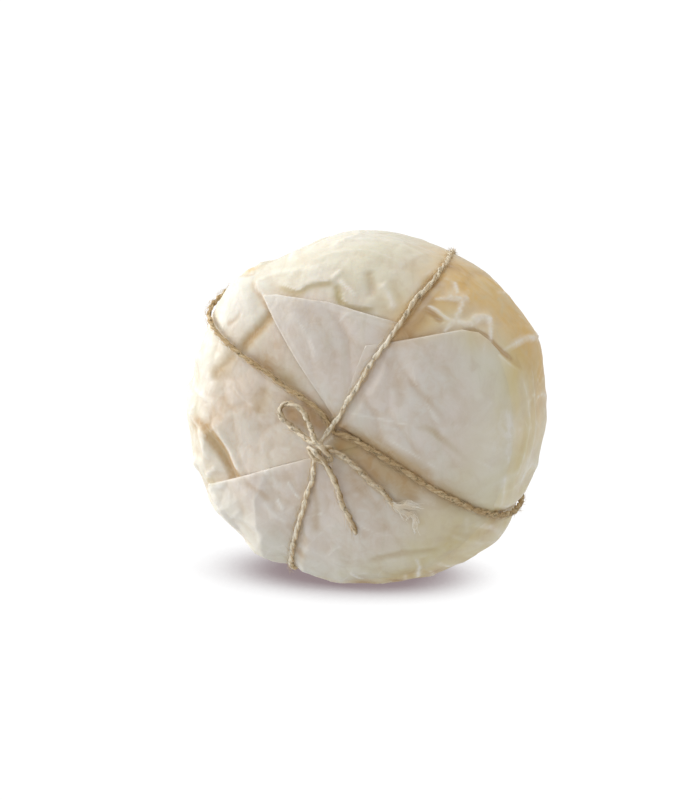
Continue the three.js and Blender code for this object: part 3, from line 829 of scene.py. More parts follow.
# Tinted spots of the paper: right and up on the tied face, or turn and tilt round the rim, how strong, and
# how wide
TINTS = {
    # the cheese's own orange, over the upper right rim and beside the left twine
    "warm": [
        ("face", 22, 32, 0.9, 5), ("face", 17, 27.5, 0.9, 3.5), ("face", 27, 38, 0.8, 6),
        ("rim", 52, -24, 0.8, 9), ("rim", 42, -8, 1.0, 11), ("rim", 27, 0, 0.9, 11),
        ("face", -30.2, 40.6, 1.1, 1.7), ("rim", 14, 4, 0.4, 12), ("rim", 60, 0, 0.55, 12),
        ("rim", 0, 6, 0.35, 12), ("rim", 0, -34, 0.2, 8), ("rim", 35, 30, 0.6, 20),
        ("face", 39, 27, 0.35, 5), ("rim", -130, -36, 0.1, 10), ("face", -12.4, 2.6, 0.5, 2.2),
        ("face", -7, 3, 0.4, 2),
    ],
    # painted brown shade beside the twine and the knot, at the foot of folds and round the foot of the ball
    "brown": [
        ("face", -8.8, 5.6, 0.6, 2.4), ("face", -6.2, 3.0, 1.1, 2.3), ("face", -3.8, 1.0, 1.2, 2.3),
        ("face", -1, 3.8, 1.0, 2.3), ("face", 2.2, 0.4, 1.2, 2.0), ("face", 1.6, -5.4, 0.6, 1.8),
        ("face", -13.4, 3.0, 0.9, 2.0), ("face", -11.2, 2.0, 0.9, 2.0),
        ("face", -8.6, 0.6, 0.6, 1.8), ("face", 27.4, 44.4, 1.0, 2.4), ("face", 26, 40.6, 0.9, 2.2),
        ("face", 24.4, 36.8, 1.0, 2.2), ("face", 22.8, 32.8, 1.0, 2.6),
        ("face", 19.6, 27.8, 1.0, 2.4), ("face", 21.4, 30.4, 0.9, 2.6), ("rim", 57, -8, 0.6, 3.4),
        ("face", -43.8, -2.6, 0.9, 1.8), ("face", -46, -3.4, 0.6, 2.2),
        ("face", -10.6, -34.6, 0.5, 1.8), ("face", -12.9, -38.8, 0.7, 2.0),
        ("face", -17, -44.2, 0.9, 1.5), ("face", -22, 6, 0.2, 12), ("face", -34, 4, 0.22, 9),
        ("face", -38, -1.5, 0.4, 4), ("face", -27.4, -24.3, 0.22, 4), ("face", -20, 20.7, 0.45, 5),
        ("face", 18, 45, 0.25, 5), ("face", 32, -32, 0.18, 8), ("face", -44, -10, 0.12, 6),
        ("rim", 20, -6, 0.15, 8), ("face", -12, -18, 0.1, 9), ("face", 5, -15, 0.3, 6),
        ("face", 13, -11, 0.4, 4.5), ("face", 22, -15, 0.3, 4.5), ("face", 12, -27, 0.2, 9),
        ("face", -40.5, -16.5, 0.25, 3), ("rim", -36, -26, 0.5, 4.5), ("rim", -98, -28, 0.4, 4),
        ("rim", -86, -29, 0.6, 4), ("rim", -73, -28, 0.7, 4), ("rim", -61, -25, 0.6, 4),
        ("rim", -86, -20, 0.5, 5), ("rim", -72, -19, 0.5, 5), ("face", 18.4, -43.6, 0.5, 2.2),
        ("rim", -58, 0, 0.4, 7), ("rim", -46, -2, 0.4, 7), ("rim", -74, -4, 0.4, 7),
        ("face", 24.5, -8.1, 0.2, 4), ("face", -11, -16, 0.15, 6),
    ],
    # cracked wax, and painted light on lit bumps and on the lower left, which the lamps hardly reach. Those
    # below 0 keep the corner's first edge beside the knot plain
    "pale": [
        ("face", 31.2, 38.6, 0.15, 2.4), ("face", 33.0, 30.6, 0.45, 1.5),
        ("face", -30.5, 31.5, 0.8, 4.6), ("face", 8, 38, 0.4, 2.6), ("face", -28, -24, 0.1, 8),
        ("face", -38, -33, 0.6, 7), ("face", -22.5, -37, 0.5, 6), ("rim", -8, -42, 0.4, 6),
        ("rim", 8, -44, 0.4, 6), ("rim", -17, -9, 0.7, 7), ("rim", 0, -35, 0.5, 6),
        ("rim", 98, -20, 0.3, 12), ("rim", -137, -33, 0.5, 7), ("face", -20.6, -23.4, 0.2, 6),
        ("face", -37, -34, 0.3, 5), ("face", -3, -27, 0.3, 7), ("face", -6, -12.5, 0.3, 4),
        ("face", -4, -8.1, -1.5, 1.2), ("face", -2, -7.6, -2, 1.6), ("face", 0.5, -6.8, -2, 1.6),
        ("face", 3, -6, -2, 1.6), ("face", 5.5, -5.2, -2, 1.6), ("face", 8, -4.4, -2, 1.6),
    ],
    # deep shade
    "olive": [
        ("rim", 16, -8, 0.3, 8), ("rim", 44, 0, 0.25, 10), ("face", 14, -12, 0.25, 5),
        ("face", 20, -16, 0.2, 5), ("face", -41.8, -20.4, 0.7, 1.7),
        ("face", -39.6, -20.6, 0.5, 1.3), ("face", 1, -5.4, 0.6, 2.4),
        ("face", 4.6, -5.2, 0.6, 2.6), ("face", -6.2, 3.6, 0.4, 2.6),
        ("face", -15, 12.4, 0.35, 2.2), ("face", -11, 9.8, 0.4, 2.2),
    ],
    # darker, yellower paper down the right and round the foot of the ball, and painted shade beside the top
    # twine
    "khaki": [
        ("rim", 10, -30, 0.7, 12), ("rim", -8, -18, 0.4, 14), ("rim", 12, -8, 0.5, 8),
        ("rim", -30, -6, 0.9, 16), ("rim", -50, -20, 0.9, 15), ("rim", -70, -26, 0.9, 13),
        ("rim", -90, -12, 0.7, 14), ("face", 30, -30, 0.7, 12), ("face", 38, -8, 0.4, 9),
        ("rim", 8, -20, 0.3, 7), ("rim", 85, -24, 0.12, 16), ("face", 2, 42, 0.15, 8),
        ("face", 25, 31, 0.8, 5), ("face", 32, 33, 0.6, 5), ("face", 36, 26, 0.5, 4),
        ("rim", 14, -10, 0.9, 9), ("rim", 24, -18, 0.7, 7), ("face", -42, -9, 0.25, 7),
        ("face", 15, 36, 0.5, 6), ("face", 20, 44, 0.4, 5), ("face", 50, -10, 0.65, 6),
        ("face", 27, -24, 0.4, 5),
    ],
}
CATCHING_LIGHT = [  # small flat facets that look pale: outlines as right and up of the middle, and how pale
    ([(30.5, 38.0), (34.0, 38.1), (35.1, 34.1), (32.6, 34.2)], 0.16),
    ([(27.2, 40.6), (30.4, 41.0), (31.9, 37.2), (27.5, 37.3)], 0.2),
    ([(30.3, 32.6), (33.5, 33.1), (35.6, 29.6), (35.4, 27.6), (31.3, 28.6)], 0.14),
    ([(37.2, 31.4), (40.3, 30.9), (41.5, 25.1), (37.7, 28.3)], 0.1),
]
ON_TIED_SIDE = -8  # the tilt up to which an outline given as right and up of the middle holds
WELL_OUTSIDE = -9


def tint(marks, turn, tilt, share=1.0):
    """Adds the tinted spots. Of the warm and the khaki ones only a share shows on a second sheet."""
    places, _ = smooth_ball(turn, tilt)
    for outline, amount in CATCHING_LIGHT:
        inside = inside_by(outline, places[:, 0], places[:, 2])
        inside = np.where(tilt < ON_TIED_SIDE, inside, WELL_OUTSIDE)
        marks["pale"] += amount * smoothstep(inside, -0.25, 0.25)
    for name, spots in TINTS.items():
        total = np.zeros(len(places))
        for where, first, second, amount, width in spots:
            angles = face_angles(first, second) if where == "face" else (first, second)
            middle, _ = smooth_ball(*angles)
            total += amount * np.exp(-((np.linalg.norm(places - middle, axis=1) / width) ** 2))
        marks[name] = marks[name] + total if name in marks else share * total


TWO_SHEETS = 0.85  # how much the tied face has the look of more than one layer where no corner covers it
PAPERS_APART = 0.15  # between a corner and the sheet under it
CROSS_FROM, CROSS_TO = -38, -28  # the tilts between which a corner goes down into the sheet
TUCKED = 0.9  # how far the sheet lies under a corner that covers it


def look_doubled(tilt):
    """How far the base has the look of two sheets, which it has on the tied face."""
    return TWO_SHEETS * smoothstep(-tilt, 36, 56)


def apart(tilt):
    """How far a corner stands over the middle between it and the sheet, and below 0 past the shoulder."""
    return PAPERS_APART * (1 - 2 * smoothstep(tilt, CROSS_FROM, CROSS_TO))


def body_surface(turn, tilt):
    """The base sheet all over the ball: places about the centre, heights and marks."""
    places, normals = smooth_ball(turn, tilt)
    right, up = places[:, 0], places[:, 2]
    cover = np.zeros(len(places))
    shaded = np.zeros(len(places))
    raised = LAYER * smoothstep(inside_by(BESIDE_KNOT, right, up), -0.6, 0.6) * (tilt < 0)
    for corner in CORNERS.values():
        inside = np.where(tilt < ON_TIED_SIDE, inside_by(corner["outline"], right, up), WELL_OUTSIDE)
        within = smoothstep(inside, 0.1, 1.0)
        raised = np.maximum(raised, within * corner_lift(tilt, corner["layers"]))
        cover = np.maximum(cover, within)
        shade = np.exp(-((np.minimum(inside, 0) / 1.4) ** 2))
        shaded += np.where((inside < 0.5) & (tilt < THINS_TO), shade, 0)
    marks = relief(turn, tilt, "base", 1 - cover)
    height = marks["height"]
    marks["brown"] += 0.2 * shaded * (1 - raised / LAYER).clip(0, 1)
    hidden = cover * (1 - smoothstep(tilt, -56, -46))
    height = lerp(height, np.minimum(height, 0.1) - TUCKED, hidden) + raised
    height -= cover * apart(tilt)
    height = give_way(places, height, 0.05)
    tint(marks, turn, tilt)
    mark_twine(places, marks)
    marks["double"] = look_doubled(tilt)
    return places + normals * height[:, None], height, marks


def rest_flat(places):
    """The ball's own place over the floor, where the paper is pressed flat."""
    placed = places + np.array([0, 0, CENTRE_HEIGHT])
    soft = 0.5
    gap = soft - placed[:, 2]
    pressed = np.minimum(gap, 2 * soft) ** 2 / (4 * soft) + np.maximum(gap - 2 * soft, 0)
    placed[:, 2] += np.where(gap > 0, pressed, 0)
    placed[:, 2] -= soft / 4
    placed[:, 2] = np.maximum(placed[:, 2], 0)
    return placed


# ---- the sheet itself, a cube swelled out to the ball
CUTS = 124
FINER_IN_FRONT = 0.58  # the faces of the mesh are smaller on the tied face than on the back by this
deselect_all()
bpy.ops.mesh.primitive_cube_add(size=2)
wrap = bpy.context.object
wrap.name = "waxed_paper_wrap"
bpy.ops.object.mode_set(mode="EDIT")
bpy.ops.mesh.select_all(action="SELECT")
bpy.ops.mesh.subdivide(number_cuts=CUTS)
bpy.ops.object.mode_set(mode="OBJECT")
way = unit(np.tan(coordinates(wrap.data) * math.pi / 4))
wrap_turn = np.degrees(np.arctan2(way[:, 2], way[:, 0]))
from_front = np.arccos(np.clip(-way[:, 1], -1, 1))
half_angle = np.minimum(from_front, math.pi - 1e-6) / 2
wrap_tilt = np.degrees(2 * np.arctan(FINER_IN_FRONT * np.tan(half_angle))) - 90
wrap_places, wrap_height, wrap_marks = body_surface(wrap_turn, wrap_tilt)
mark_relief(wrap.data, wrap_marks, wrap_height, CRACKS_AT)
set_coordinates(wrap.data, rest_flat(wrap_places))
set_marks(wrap.data, wrap_marks)
bpy.ops.object.shade_smooth()
wrap.data.materials.append(PAPER)
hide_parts("wrapped_cheese")
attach(wrap, "root")

# ---------------------------------------------------------------- folded corners
# The corners of the same sheet, folded over the tied face one on the other. Their free edges are sharp
# folds, and over the shoulder they run into the sheet. The twine holds them down.
FOLD_ROUND = 0.4  # how round a folded edge is
ROUNDING_CUTS = 0.08, 0.2, 0.38  # how far inside a free edge the mesh is cut to carry that round
PAPER_THICKNESS = 0.15
GRID_STEP = 0.5
GRID_REACH, FURTHEST = 50, 50.5  # how far from the middle of the face a corner is drawn
RUNS_IN_FROM, RUNS_IN_TO = -60, -46  # the tilts between which a corner takes on the folds of the sheet
OWN_FOLDS = 0.8  # how strong its own folds are, laid flat as it is
BELOW_TWINE = {"top corner": -0.1, "right corner": -0.2, "bottom corner": -0.1}  # it bites in that far
FOLD_PALE = {"top corner": 0.5, "right corner": 0.5, "bottom corner": 0.4}  # a pale line along a fold: cracked wax and a painted highlight
SECOND_LINE = {"top corner": 0.5, "right corner": 0.0, "bottom corner": 0.0}  # and a second line inside it


def corner_sheet(name, outline, layers, free, bright):
    """One corner: a flat grid cut to its outline, laid on the ball, with its folds, thickness and marks."""
    points = np.array(outline)
    low, high = np.maximum(points.min(0), -GRID_REACH), np.minimum(points.max(0), GRID_REACH)
    size, middle = high - low, (low + high) / 2
    cells = (size / GRID_STEP).astype(int)
    deselect_all()
    bpy.ops.mesh.primitive_grid_add(x_subdivisions=int(cells[0]), y_subdivisions=int(cells[1]), size=1)
    sheet = bpy.context.object
    sheet.name = name.replace(" ", "_")
    bpy.ops.object.mode_set(mode="EDIT")
    bpy.ops.mesh.select_all(action="SELECT")
    bpy.ops.transform.resize(value=(size[0], size[1], 1))
    bpy.ops.transform.translate(value=(middle[0], middle[1], 0))
    for index, (place, inwards) in enumerate(edge_lines(outline)):
        bpy.ops.mesh.select_all(action="SELECT")
        bpy.ops.mesh.bisect(plane_co=(*place, 0), plane_no=(*inwards, 0), clear_inner=True)
        if index in free:
            for set_back in ROUNDING_CUTS:
                bpy.ops.mesh.select_all(action="SELECT")
                bpy.ops.mesh.bisect(plane_co=(*(place + set_back * inwards), 0), plane_no=(*inwards, 0))
    bpy.ops.object.mode_set(mode="OBJECT")
    flat = coordinates(sheet.data)
    right, up = flat[:, 0], flat[:, 1]
    drawn_in = np.minimum(1, FURTHEST / np.maximum(np.hypot(right, up), 1))
    right, up = right * drawn_in, up * drawn_in
    turn, tilt = face_angles(right, up)
    places, normals = smooth_ball(turn, tilt)
    own, base = relief(turn, tilt, name), relief(turn, tilt, "base", 0)
    joins = smoothstep(tilt, RUNS_IN_FROM, RUNS_IN_TO)
    slack = slackness(places) + pleats(turn, tilt)
    quiet = lerp(slack, own["height"], OWN_FOLDS)
    marks = {mark: lerp(own[mark] * OWN_FOLDS, base[mark], joins) for mark in ("pale", "brown", "olive")}
    tint(marks, turn, tilt, lerp(0.4, 1.0, joins))
    marks["double"] = lerp(1.0, look_doubled(tilt), joins)
    relief_height = lerp(quiet, base["height"], joins)
    edge = inside_by(outline, right, up, free)
    inside_fold = np.clip(edge / FOLD_ROUND, 0, 1)
    rounding = FOLD_ROUND * (1 - np.sqrt(1 - (1 - inside_fold) ** 2))
    height = relief_height + corner_lift(tilt, layers) + apart(tilt) - rounding
    if 0 not in free:  # its first edge is no fold, but goes under the corner before it
        height -= 0.35 * (1 - smoothstep(inside_by(outline, right, up, (0,)), 0, 1.6))
    height -= 1.2 * smoothstep(tilt, -34, -24)  # past the shoulder it is hidden inside the sheet
    height = give_way(places, height, BELOW_TWINE[name])
    mark_relief(sheet.data, marks, relief_height, lerp(CRACKS_AT_ON_CORNER, CRACKS_AT, joins))
    mark_twine(places, marks)
    # the pale lines along the bright fold edges are cracked wax and a painted highlight
    from_fold = inside_by(outline, right, up, bright)
    edge_line = FOLD_PALE[name] * np.exp(-((from_fold / 0.6) ** 2))
    second_line = SECOND_LINE[name] * np.exp(-(((from_fold - 1.5) / 0.5) ** 2))
    marks["pale"] += (edge_line + second_line) * (1 - smoothstep(tilt, -44, -26))
    set_coordinates(sheet.data, rest_flat(places + normals * height[:, None]))
    set_marks(sheet.data, marks)
    bpy.ops.object.mode_set(mode="EDIT")
    bpy.ops.mesh.select_all(action="SELECT")
    bpy.ops.mesh.remove_doubles(threshold=0.00001)
    bpy.ops.mesh.normals_make_consistent(inside=False)
    bpy.ops.object.mode_set(mode="OBJECT")
    facing_back = sum(face.normal.y for face in sheet.data.polygons[:200]) > 0
    if facing_back:
        sheet.data.flip_normals()
    solid = sheet.modifiers.new("thickness", "SOLIDIFY")
    solid.thickness = PAPER_THICKNESS * MM
    solid.offset = -1
    bpy.ops.object.modifier_apply(modifier=solid.name)
    bpy.ops.object.shade_smooth()
    sheet.data.materials.append(PAPER)
    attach(sheet, "root")


for corner_name, corner in CORNERS.items():
    corner_sheet(corner_name, **corner)

# ---------------------------------------------------------------- twine
# Two-ply jute kitchen twine, taken crosswise round the ball, tied in a slip knot with one loop, and cut
# with two short ends. Loose fibres stand off it all along.
PLY = 0.55  # radius of one ply
PLY_OFF = 0.34  # from the middle of the twine to the middle of a ply
PITCH = 7.4  # length of one full twist
PLY_SIDES = 10
KNOT = (-4.6, -35.5, CENTRE_HEIGHT - 5.5)
# How thick each strand is, how dark it is (partly its own brown, partly painted shade), how pale, painted
# paler on its lit side, how much painted shade it takes on the side away from the light, and how far it
# sways from its route
STRANDS = {
    "left": dict(thick=0.88, soiled_and_shaded=0.55, bleached_and_lit=0.1, away_shaded=0.4, sway=0.2),
    "right": dict(thick=1.0, soiled_and_shaded=0.5, bleached_and_lit=0.1, away_shaded=0.3, sway=0.2),
    "top": dict(thick=0.85, soiled_and_shaded=0.05, bleached_and_lit=1.2, away_shaded=0.1, sway=0.2),
    "bottom": dict(thick=0.85, soiled_and_shaded=0.0, bleached_and_lit=0.95, away_shaded=0.15, sway=0.2),
    "bow": dict(thick=0.95, soiled_and_shaded=0.2, bleached_and_lit=0.65, away_shaded=1.1, sway=0.3),
}
TWISTS = 0, 1, 2, 3, 0.5  # where the twist of each strand starts, in radians
TOP_BROWNS_FROM, TOP_BROWNS_TO = 34, 44  # from the knot along the top strand, which is browner further on
KNOT_PALE = 3.4  # how far the pale of the knot reaches
ROUGH = 0.03  # how far its surface is off the smooth
AWAY = (0.84, 0.2, -0.5)  # the side of the twine away from the light
STRAW_DARK, STRAW, STRAW_LIGHT = (0.54, 0.35, 0.16), (0.92, 0.65, 0.35), (1.0, 0.86, 0.56)
BLEACHED_AND_LIT, SOILED_AND_SHADED, SPECKLED = (1.0, 0.93, 0.77), (0.33, 0.205, 0.08), (0.17, 0.12, 0.06)


def jute():
    """Coarse bast fibre, straw-coloured with darker and paler streaks along each ply."""
    fibre = Material("jute")
    along = fibre.node("ShaderNodeUVMap", {"uv_map": "along"}, {})
    stretched = fibre.node("ShaderNodeMapping", {}, {"Vector": along, "Scale": (9.0, 420.0, 1.0)})
    streaks = fibre.spread(fibre.noise(stretched, 1.0, 4, 0.6), 0.32, 0.68)
    where = fibre.node("ShaderNodeTexCoord", {}, {}, "Object")
    patches = fibre.spread(fibre.noise(where, 330, 3), 0.38, 0.62)
    specks = fibre.spread(fibre.noise(where, 700, 4, 0.7), 0.53, 0.62)
    colour = fibre.mix(STRAW_DARK, STRAW_LIGHT, streaks)
    colour = fibre.mix(colour, STRAW, patches * 0.4)
    # painted light and shade: paler on the twine's lit side, darker away from the light, over its own tones
    colour = fibre.mix(colour, BLEACHED_AND_LIT, fibre.attribute("bleached_and_lit"))
    soiled_and_shaded = fibre.attribute("soiled_and_shaded")
    colour = fibre.mix(colour, SOILED_AND_SHADED, (soiled_and_shaded * (0.55 + 0.55 * patches)).clamped())
    colour = fibre.mix(colour, SPECKLED, (specks * (0.4 + 0.6 * soiled_and_shaded)).clamped())
    bump = fibre.node("ShaderNodeBump", {}, {"Strength": 0.5, "Distance": 0.00015, "Height": streaks})
    fibre.set(Base_Color=colour, Roughness=0.75 + 0.15 * patches, Normal=bump, Specular_IOR_Level=0.2)
    return fibre.data


JUTE = jute()


def ways_across(places, hint):
    """Two directions across a line that don't twist about it more than hint does."""
    forward = unit(np.gradient(places, axis=0))
    side = unit(np.cross(forward, hint))
    return side, unit(np.cross(side, forward))


def tube_mesh(tubes, sides):
    """Vertices, faces and UVs of closed tubes, each given as places, two directions across it and radii."""
    vertices, faces, around = [], [], []
    start = 0
    angle = np.linspace(0, 2 * math.pi, sides, endpoint=False)
    for places, side, up, radii in tubes:
        cosines, sines = np.cos(angle)[None, :, None], np.sin(angle)[None, :, None]
        ring = side[:, None] * cosines + up[:, None] * sines
        vertices.append((places[:, None] + ring * radii[:, None, None]).reshape(-1, 3))
        count = len(places)
        for i in range(count - 1):
            for j in range(sides):
                k = (j + 1) % sides
                a, b = start + i * sides, start + (i + 1) * sides
                faces.append((a + j, b + j, b + k, a + k))
        faces.append(tuple(start + j for j in range(sides)))
        faces.append(tuple(start + (count - 1) * sides + j for j in reversed(range(sides))))
        length = np.concatenate([[0], np.cumsum(np.linalg.norm(np.diff(places, axis=0), axis=1))])
        around.append(np.column_stack([np.tile(np.arange(sides) / sides, count), np.repeat(length, sides)]))
        start += count * sides
    return np.vstack(vertices), faces, np.vstack(around)


def tube_object(name, tubes, sides):
    """An object of closed tubes in jute, smooth, with their normals outwards."""
    vertices, faces, around = tube_mesh(tubes, sides)
    mesh = bpy.data.meshes.new(name)
    mesh.from_pydata([tuple(v) for v in vertices * MM], [], faces)
    layer = mesh.uv_layers.new(name="along")
    corners = np.empty(len(mesh.loops), dtype=int)
    mesh.loops.foreach_get("vertex_index", corners)
    layer.data.foreach_set("uv", (around[corners] * (1, MM)).ravel())
    made = bpy.data.objects.new(name, mesh)
    bpy.context.collection.objects.link(made)
    deselect_all()
    made.select_set(True)
    bpy.context.view_layer.objects.active = made
    bpy.ops.object.mode_set(mode="EDIT")
    bpy.ops.mesh.select_all(action="SELECT")
    bpy.ops.mesh.normals_make_consistent(inside=False)
    bpy.ops.object.mode_set(mode="OBJECT")
    bpy.ops.object.shade_smooth()
    mesh.materials.append(JUTE)
    return made


def wander(length, random, size, wavelength):
    """A smooth random wave along a line."""
    knots = random.normal(0, size, int(length[-1] / wavelength) + 4)
    return np.interp(length / wavelength, np.arange(len(knots)), knots)


def plies(route, random, twist_start, thick, sway):
    """The two plies of a strand of twine that follows a route of places, normals and lifts."""
    places = route[:, :3] + (0, 0, CENTRE_HEIGHT)
    length = np.concatenate([[0], np.cumsum(np.linalg.norm(np.diff(places, axis=0), axis=1))])
    side, up = ways_across(places, route[:, 3:6])
    places = places + side * wander(length, random, sway, 5)[:, None]
    turned = 2 * math.pi * length / PITCH + twist_start + wander(length, random, 0.45, 6)
    rows = []
    for half_turn in (0, math.pi):
        across = side * np.cos(turned + half_turn)[:, None] + up * np.sin(turned + half_turn)[:, None]
        middle = places + across * PLY_OFF * thick
        own_side, own_up = ways_across(middle, across)
        radius = PLY * thick * (1 + wander(length, random, 0.17, 1.3).clip(-0.35, 0.4))
        rows.append((middle, own_side, own_up, radius))
    return rows


twine_random = np.random.default_rng(41)
twine_tubes = []
for strand, route, twist in zip(STRANDS.values(), [*LEGS.values(), BOW], TWISTS):
    twine_tubes += plies(route, twine_random, twist, strand["thick"], strand["sway"])
twine = tube_object("jute_twine", twine_tubes, PLY_SIDES)
vertices_each = [len(tube[0]) * PLY_SIDES for tube in twine_tubes]
facing = np.empty(len(twine.data.vertices) * 3)
twine.data.vertices.foreach_get("normal", facing)
facing = facing.reshape(-1, 3)
rough = twine_random.normal(0, ROUGH, (len(facing), 1)).clip(-2 * ROUGH, 2 * ROUGH)
set_coordinates(twine.data, coordinates(twine.data) / MM + facing * rough)
away_side = facing @ AWAY
names_each = np.repeat(list(STRANDS), 2)  # two plies to a strand
of_strand = np.repeat(names_each, vertices_each)


def strand_values(key):
    """One of the strands' values at each vertex of the twine."""
    return np.repeat([STRANDS[name][key] for name in names_each], vertices_each)


# painted shade on the side of the twine away from the light, over each strand's own darkness
soiled_and_shaded = strand_values("soiled_and_shaded") + strand_values("away_shaded") * np.maximum(away_side + 0.05, 0)
from_knot = np.linalg.norm(coordinates(twine.data) / MM - KNOT, axis=1)
along_top = (of_strand == "top") * smoothstep(from_knot, TOP_BROWNS_FROM, TOP_BROWNS_TO)
soiled_and_shaded += 0.15 * along_top
at_knot = np.exp(-((from_knot / KNOT_PALE) ** 2))
bleached_and_lit = np.maximum(at_knot, strand_values("bleached_and_lit") * (1 - 0.5 * along_top))
# painted light: paler on the lit side of the twine, none on the side away from it
bleached_and_lit *= 0.8 - 0.8 * away_side
for name, values in (("soiled_and_shaded", soiled_and_shaded), ("bleached_and_lit", bleached_and_lit)):
    twine.data.attributes.new(name, "FLOAT", "POINT").data.foreach_set("value", values.clip(0, 1))
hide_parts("twine")
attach(twine, "root")

# ---------------------------------------------------------------- loose fibres
# Single fibres of the jute that have come loose in the spinning. They stand off the twine all along it,
# most of them bent back along its surface.
FIBRES = 2400
FIBRE = 0.045  # radius
SHORTEST, LONGEST = 0.9, 3.4
CURL = 0.3  # how far its end drifts, as a share of its length
TWINE_SURFACE = 0.85  # from the middle of the twine
CLEAR_OF_FLOOR = 3
FURTHEST_FORWARD = -36.4  # none starts on the very front of the knot


def loose_fibre(start, outward, forward, length, random):
    """One fibre that leaves the twine and bends back along it."""
    t = np.linspace(0, 1, 6)[:, None]
    drift = unit(random.normal(size=3)[None])[0]
    places = start + length * (forward * t + outward * (0.5 * t - 0.3 * t**2) + drift * CURL * t**2)
    side, up = ways_across(places, np.tile(drift + outward * 0.5, (6, 1)))
    return places, side, up, FIBRE * (1 - 0.6 * t[:, 0])


fibre_random = np.random.default_rng(77)
every = np.vstack([*LEGS.values(), BOW])
fibre_tubes = []
for _ in range(FIBRES):
    index = int(fibre_random.integers(4, len(every) - 4))
    here, there = every[index], every[index + 2]
    from_strand_to_strand = np.linalg.norm(there[:3] - here[:3]) > 2
    if from_strand_to_strand:
        continue
    forward = unit((there[:3] - here[:3])[None])[0] * fibre_random.choice([-1, 1])
    side = np.cross(forward, here[3:6])
    angle = fibre_random.uniform(-0.2, math.pi + 0.2)
    outward = math.cos(angle) * side + math.sin(angle) * here[3:6]
    start = here[:3] + (0, 0, CENTRE_HEIGHT) + outward * TWINE_SURFACE
    if start[2] < CLEAR_OF_FLOOR or start[1] < FURTHEST_FORWARD:
        continue
    length = fibre_random.uniform(SHORTEST, LONGEST)
    fibre_tubes.append(loose_fibre(start, outward, forward, length, fibre_random))
fibres = tube_object("loose_fibres", fibre_tubes, 3)
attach(fibres, "root")

# ---------------------------------------------------------------- frayed end
# The longer end has come untwisted, and its fibres are combed out into a pale curl and a few strands that
# hang down.
TUFTS = [  # right, up and height over the paper along each tuft, its fibres, and how far they spread
    ([(16.6, -20.4, 2.2), (18.8, -20.9, 2.9), (22.0, -20.1, 3.2), (25.4, -21.0, 2.7)], 48, 0.85),
    ([(17.0, -20.8, 2.2), (19.4, -22.4, 2.6), (22.2, -23.6, 2.4), (22.6, -27.0, 2.0), (22.2, -30.0, 1.8)],
     22, 0.9),
    ([(16.6, -20.6, 2.2), (18.6, -22.2, 2.6), (20.4, -23.8, 2.4), (20.6, -25.6, 2.0)], 22, 0.8),
]
LOWEST, HIGHEST = 1.7, 3.6  # over the smooth ball
COMBED, COMBED_PALE = (0.95, 0.86, 0.70), (1.0, 0.97, 0.90)


def combed_jute():
    """Clean jute combed out, paler than the twine."""
    combed = Material("combed jute")
    where = combed.node("ShaderNodeTexCoord", {}, {}, "Object")
    patches = combed.spread(combed.noise(where, 300, 2), 0.35, 0.65)
    colour = combed.mix(COMBED, COMBED_PALE, patches)
    combed.set(Base_Color=colour, Roughness=0.7 + 0.1 * patches, Specular_IOR_Level=0.2)
    return combed.data


tuft_tubes = []
for points, count, spread in TUFTS:
    points = np.array(points)
    looser = np.linspace(0.25, 1, len(points))[:, None]
    for _ in range(count):
        moved = points + fibre_random.normal(0, spread, points.shape) * looser
        moved[:, 2] = moved[:, 2].clip(LOWEST, HIGHEST)
        turn, tilt = face_angles(moved[:, 0], moved[:, 1])
        places, normals = lifted(turn, tilt, moved[:, 2])
        line = catmull_rom(np.column_stack([places, normals]), 5)
        line = line[: int(len(line) * fibre_random.uniform(0.6, 1))]
        side, up = ways_across(line[:, :3], line[:, 3:])
        thinning = FIBRE * np.linspace(1.7, 0.8, len(line))
        tuft_tubes.append((line[:, :3] + (0, 0, CENTRE_HEIGHT), side, up, thinning))
tuft = tube_object("frayed_end", tuft_tubes, 5)
tuft.data.materials[0] = combed_jute()
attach(tuft, "root")

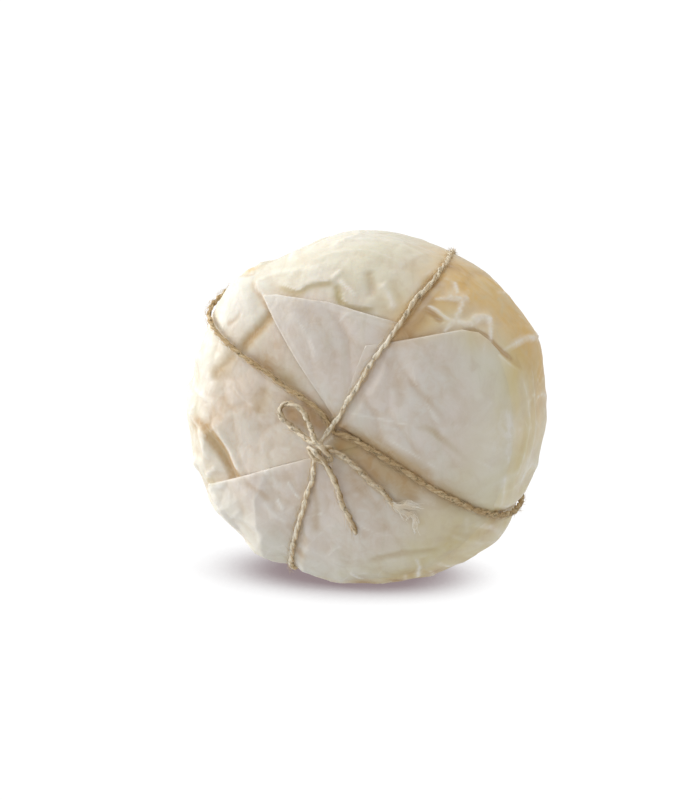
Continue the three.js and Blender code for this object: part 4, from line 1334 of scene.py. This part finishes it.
# ---------------------------------------------------------------- floor and light
# A plain white table that glows a little, like a light table, with the soft shade of what stands on it.
# Two softboxes stand at the left of a white room that is darker on the right.
TABLE_SHADE, TABLE_GLOW = (0.30, 0.238, 0.248), (1.05, 1.05, 1.05)
SHADE_REACH = 0.039  # metres
bpy.context.scene.view_settings.view_transform = "Standard"
deselect_all()
bpy.ops.mesh.primitive_plane_add(size=12)
floor = bpy.context.object
floor.name = "floor"
table = Material("light table")
leaning = table.node("ShaderNodeCombineXYZ", {}, {"X": 0.25, "Y": 0.0, "Z": 0.97})
nearness = {"Distance": SHADE_REACH, "Normal": leaning}
openness = table.node("ShaderNodeAmbientOcclusion", {"samples": 16}, nearness, "AO")
shade = table.mix(TABLE_SHADE, TABLE_GLOW, table.spread(openness, 0.1, 0.68))
table.set(Base_Color=(0.0, 0.0, 0.0), Specular_IOR_Level=0.0, Roughness=0.9)
table.set(Emission_Color=shade, Emission_Strength=1.0)
floor.data.materials.append(table.data)
floor.visible_diffuse = False


def softbox(name, azimuth, elevation, distance, size, watts):
    """A square area light that looks at the ball, with its distance and size in metres."""
    turn, rise = math.radians(azimuth), math.radians(elevation)
    way = Vector((math.sin(turn) * math.cos(rise), -math.cos(turn) * math.cos(rise), math.sin(rise)))
    bpy.ops.object.light_add(type="AREA", location=way * distance + Vector((0, 0, 0.05)))
    lamp = bpy.context.object
    lamp.name = name
    lamp.rotation_euler = way.to_track_quat("Z", "Y").to_euler()
    lamp.data.size = size
    lamp.data.energy = watts


softbox("large softbox at the left", -88, 12, 1.4, 0.7, 12.4)
softbox("softbox above the left", -100, 58, 1.5, 0.8, 6.5)
room_light = Material("white room", bpy.data.worlds.new("white room"))
bpy.context.scene.world = room_light.data
direction = room_light.node("ShaderNodeTexCoord", {}, {}, "Generated")
across = room_light.node("ShaderNodeSeparateXYZ", {}, {"Vector": direction}, "X")
upwards = room_light.node("ShaderNodeSeparateXYZ", {}, {"Vector": direction}, "Z")
seen = room_light.node("ShaderNodeLightPath", {}, {}, "Is Camera Ray")
lighting = 0.69 - 0.06 * across + 0.08 * upwards
room_light.set(Color=(1, 1, 1), Strength=lighting * (1 - seen) + 1.1 * seen)
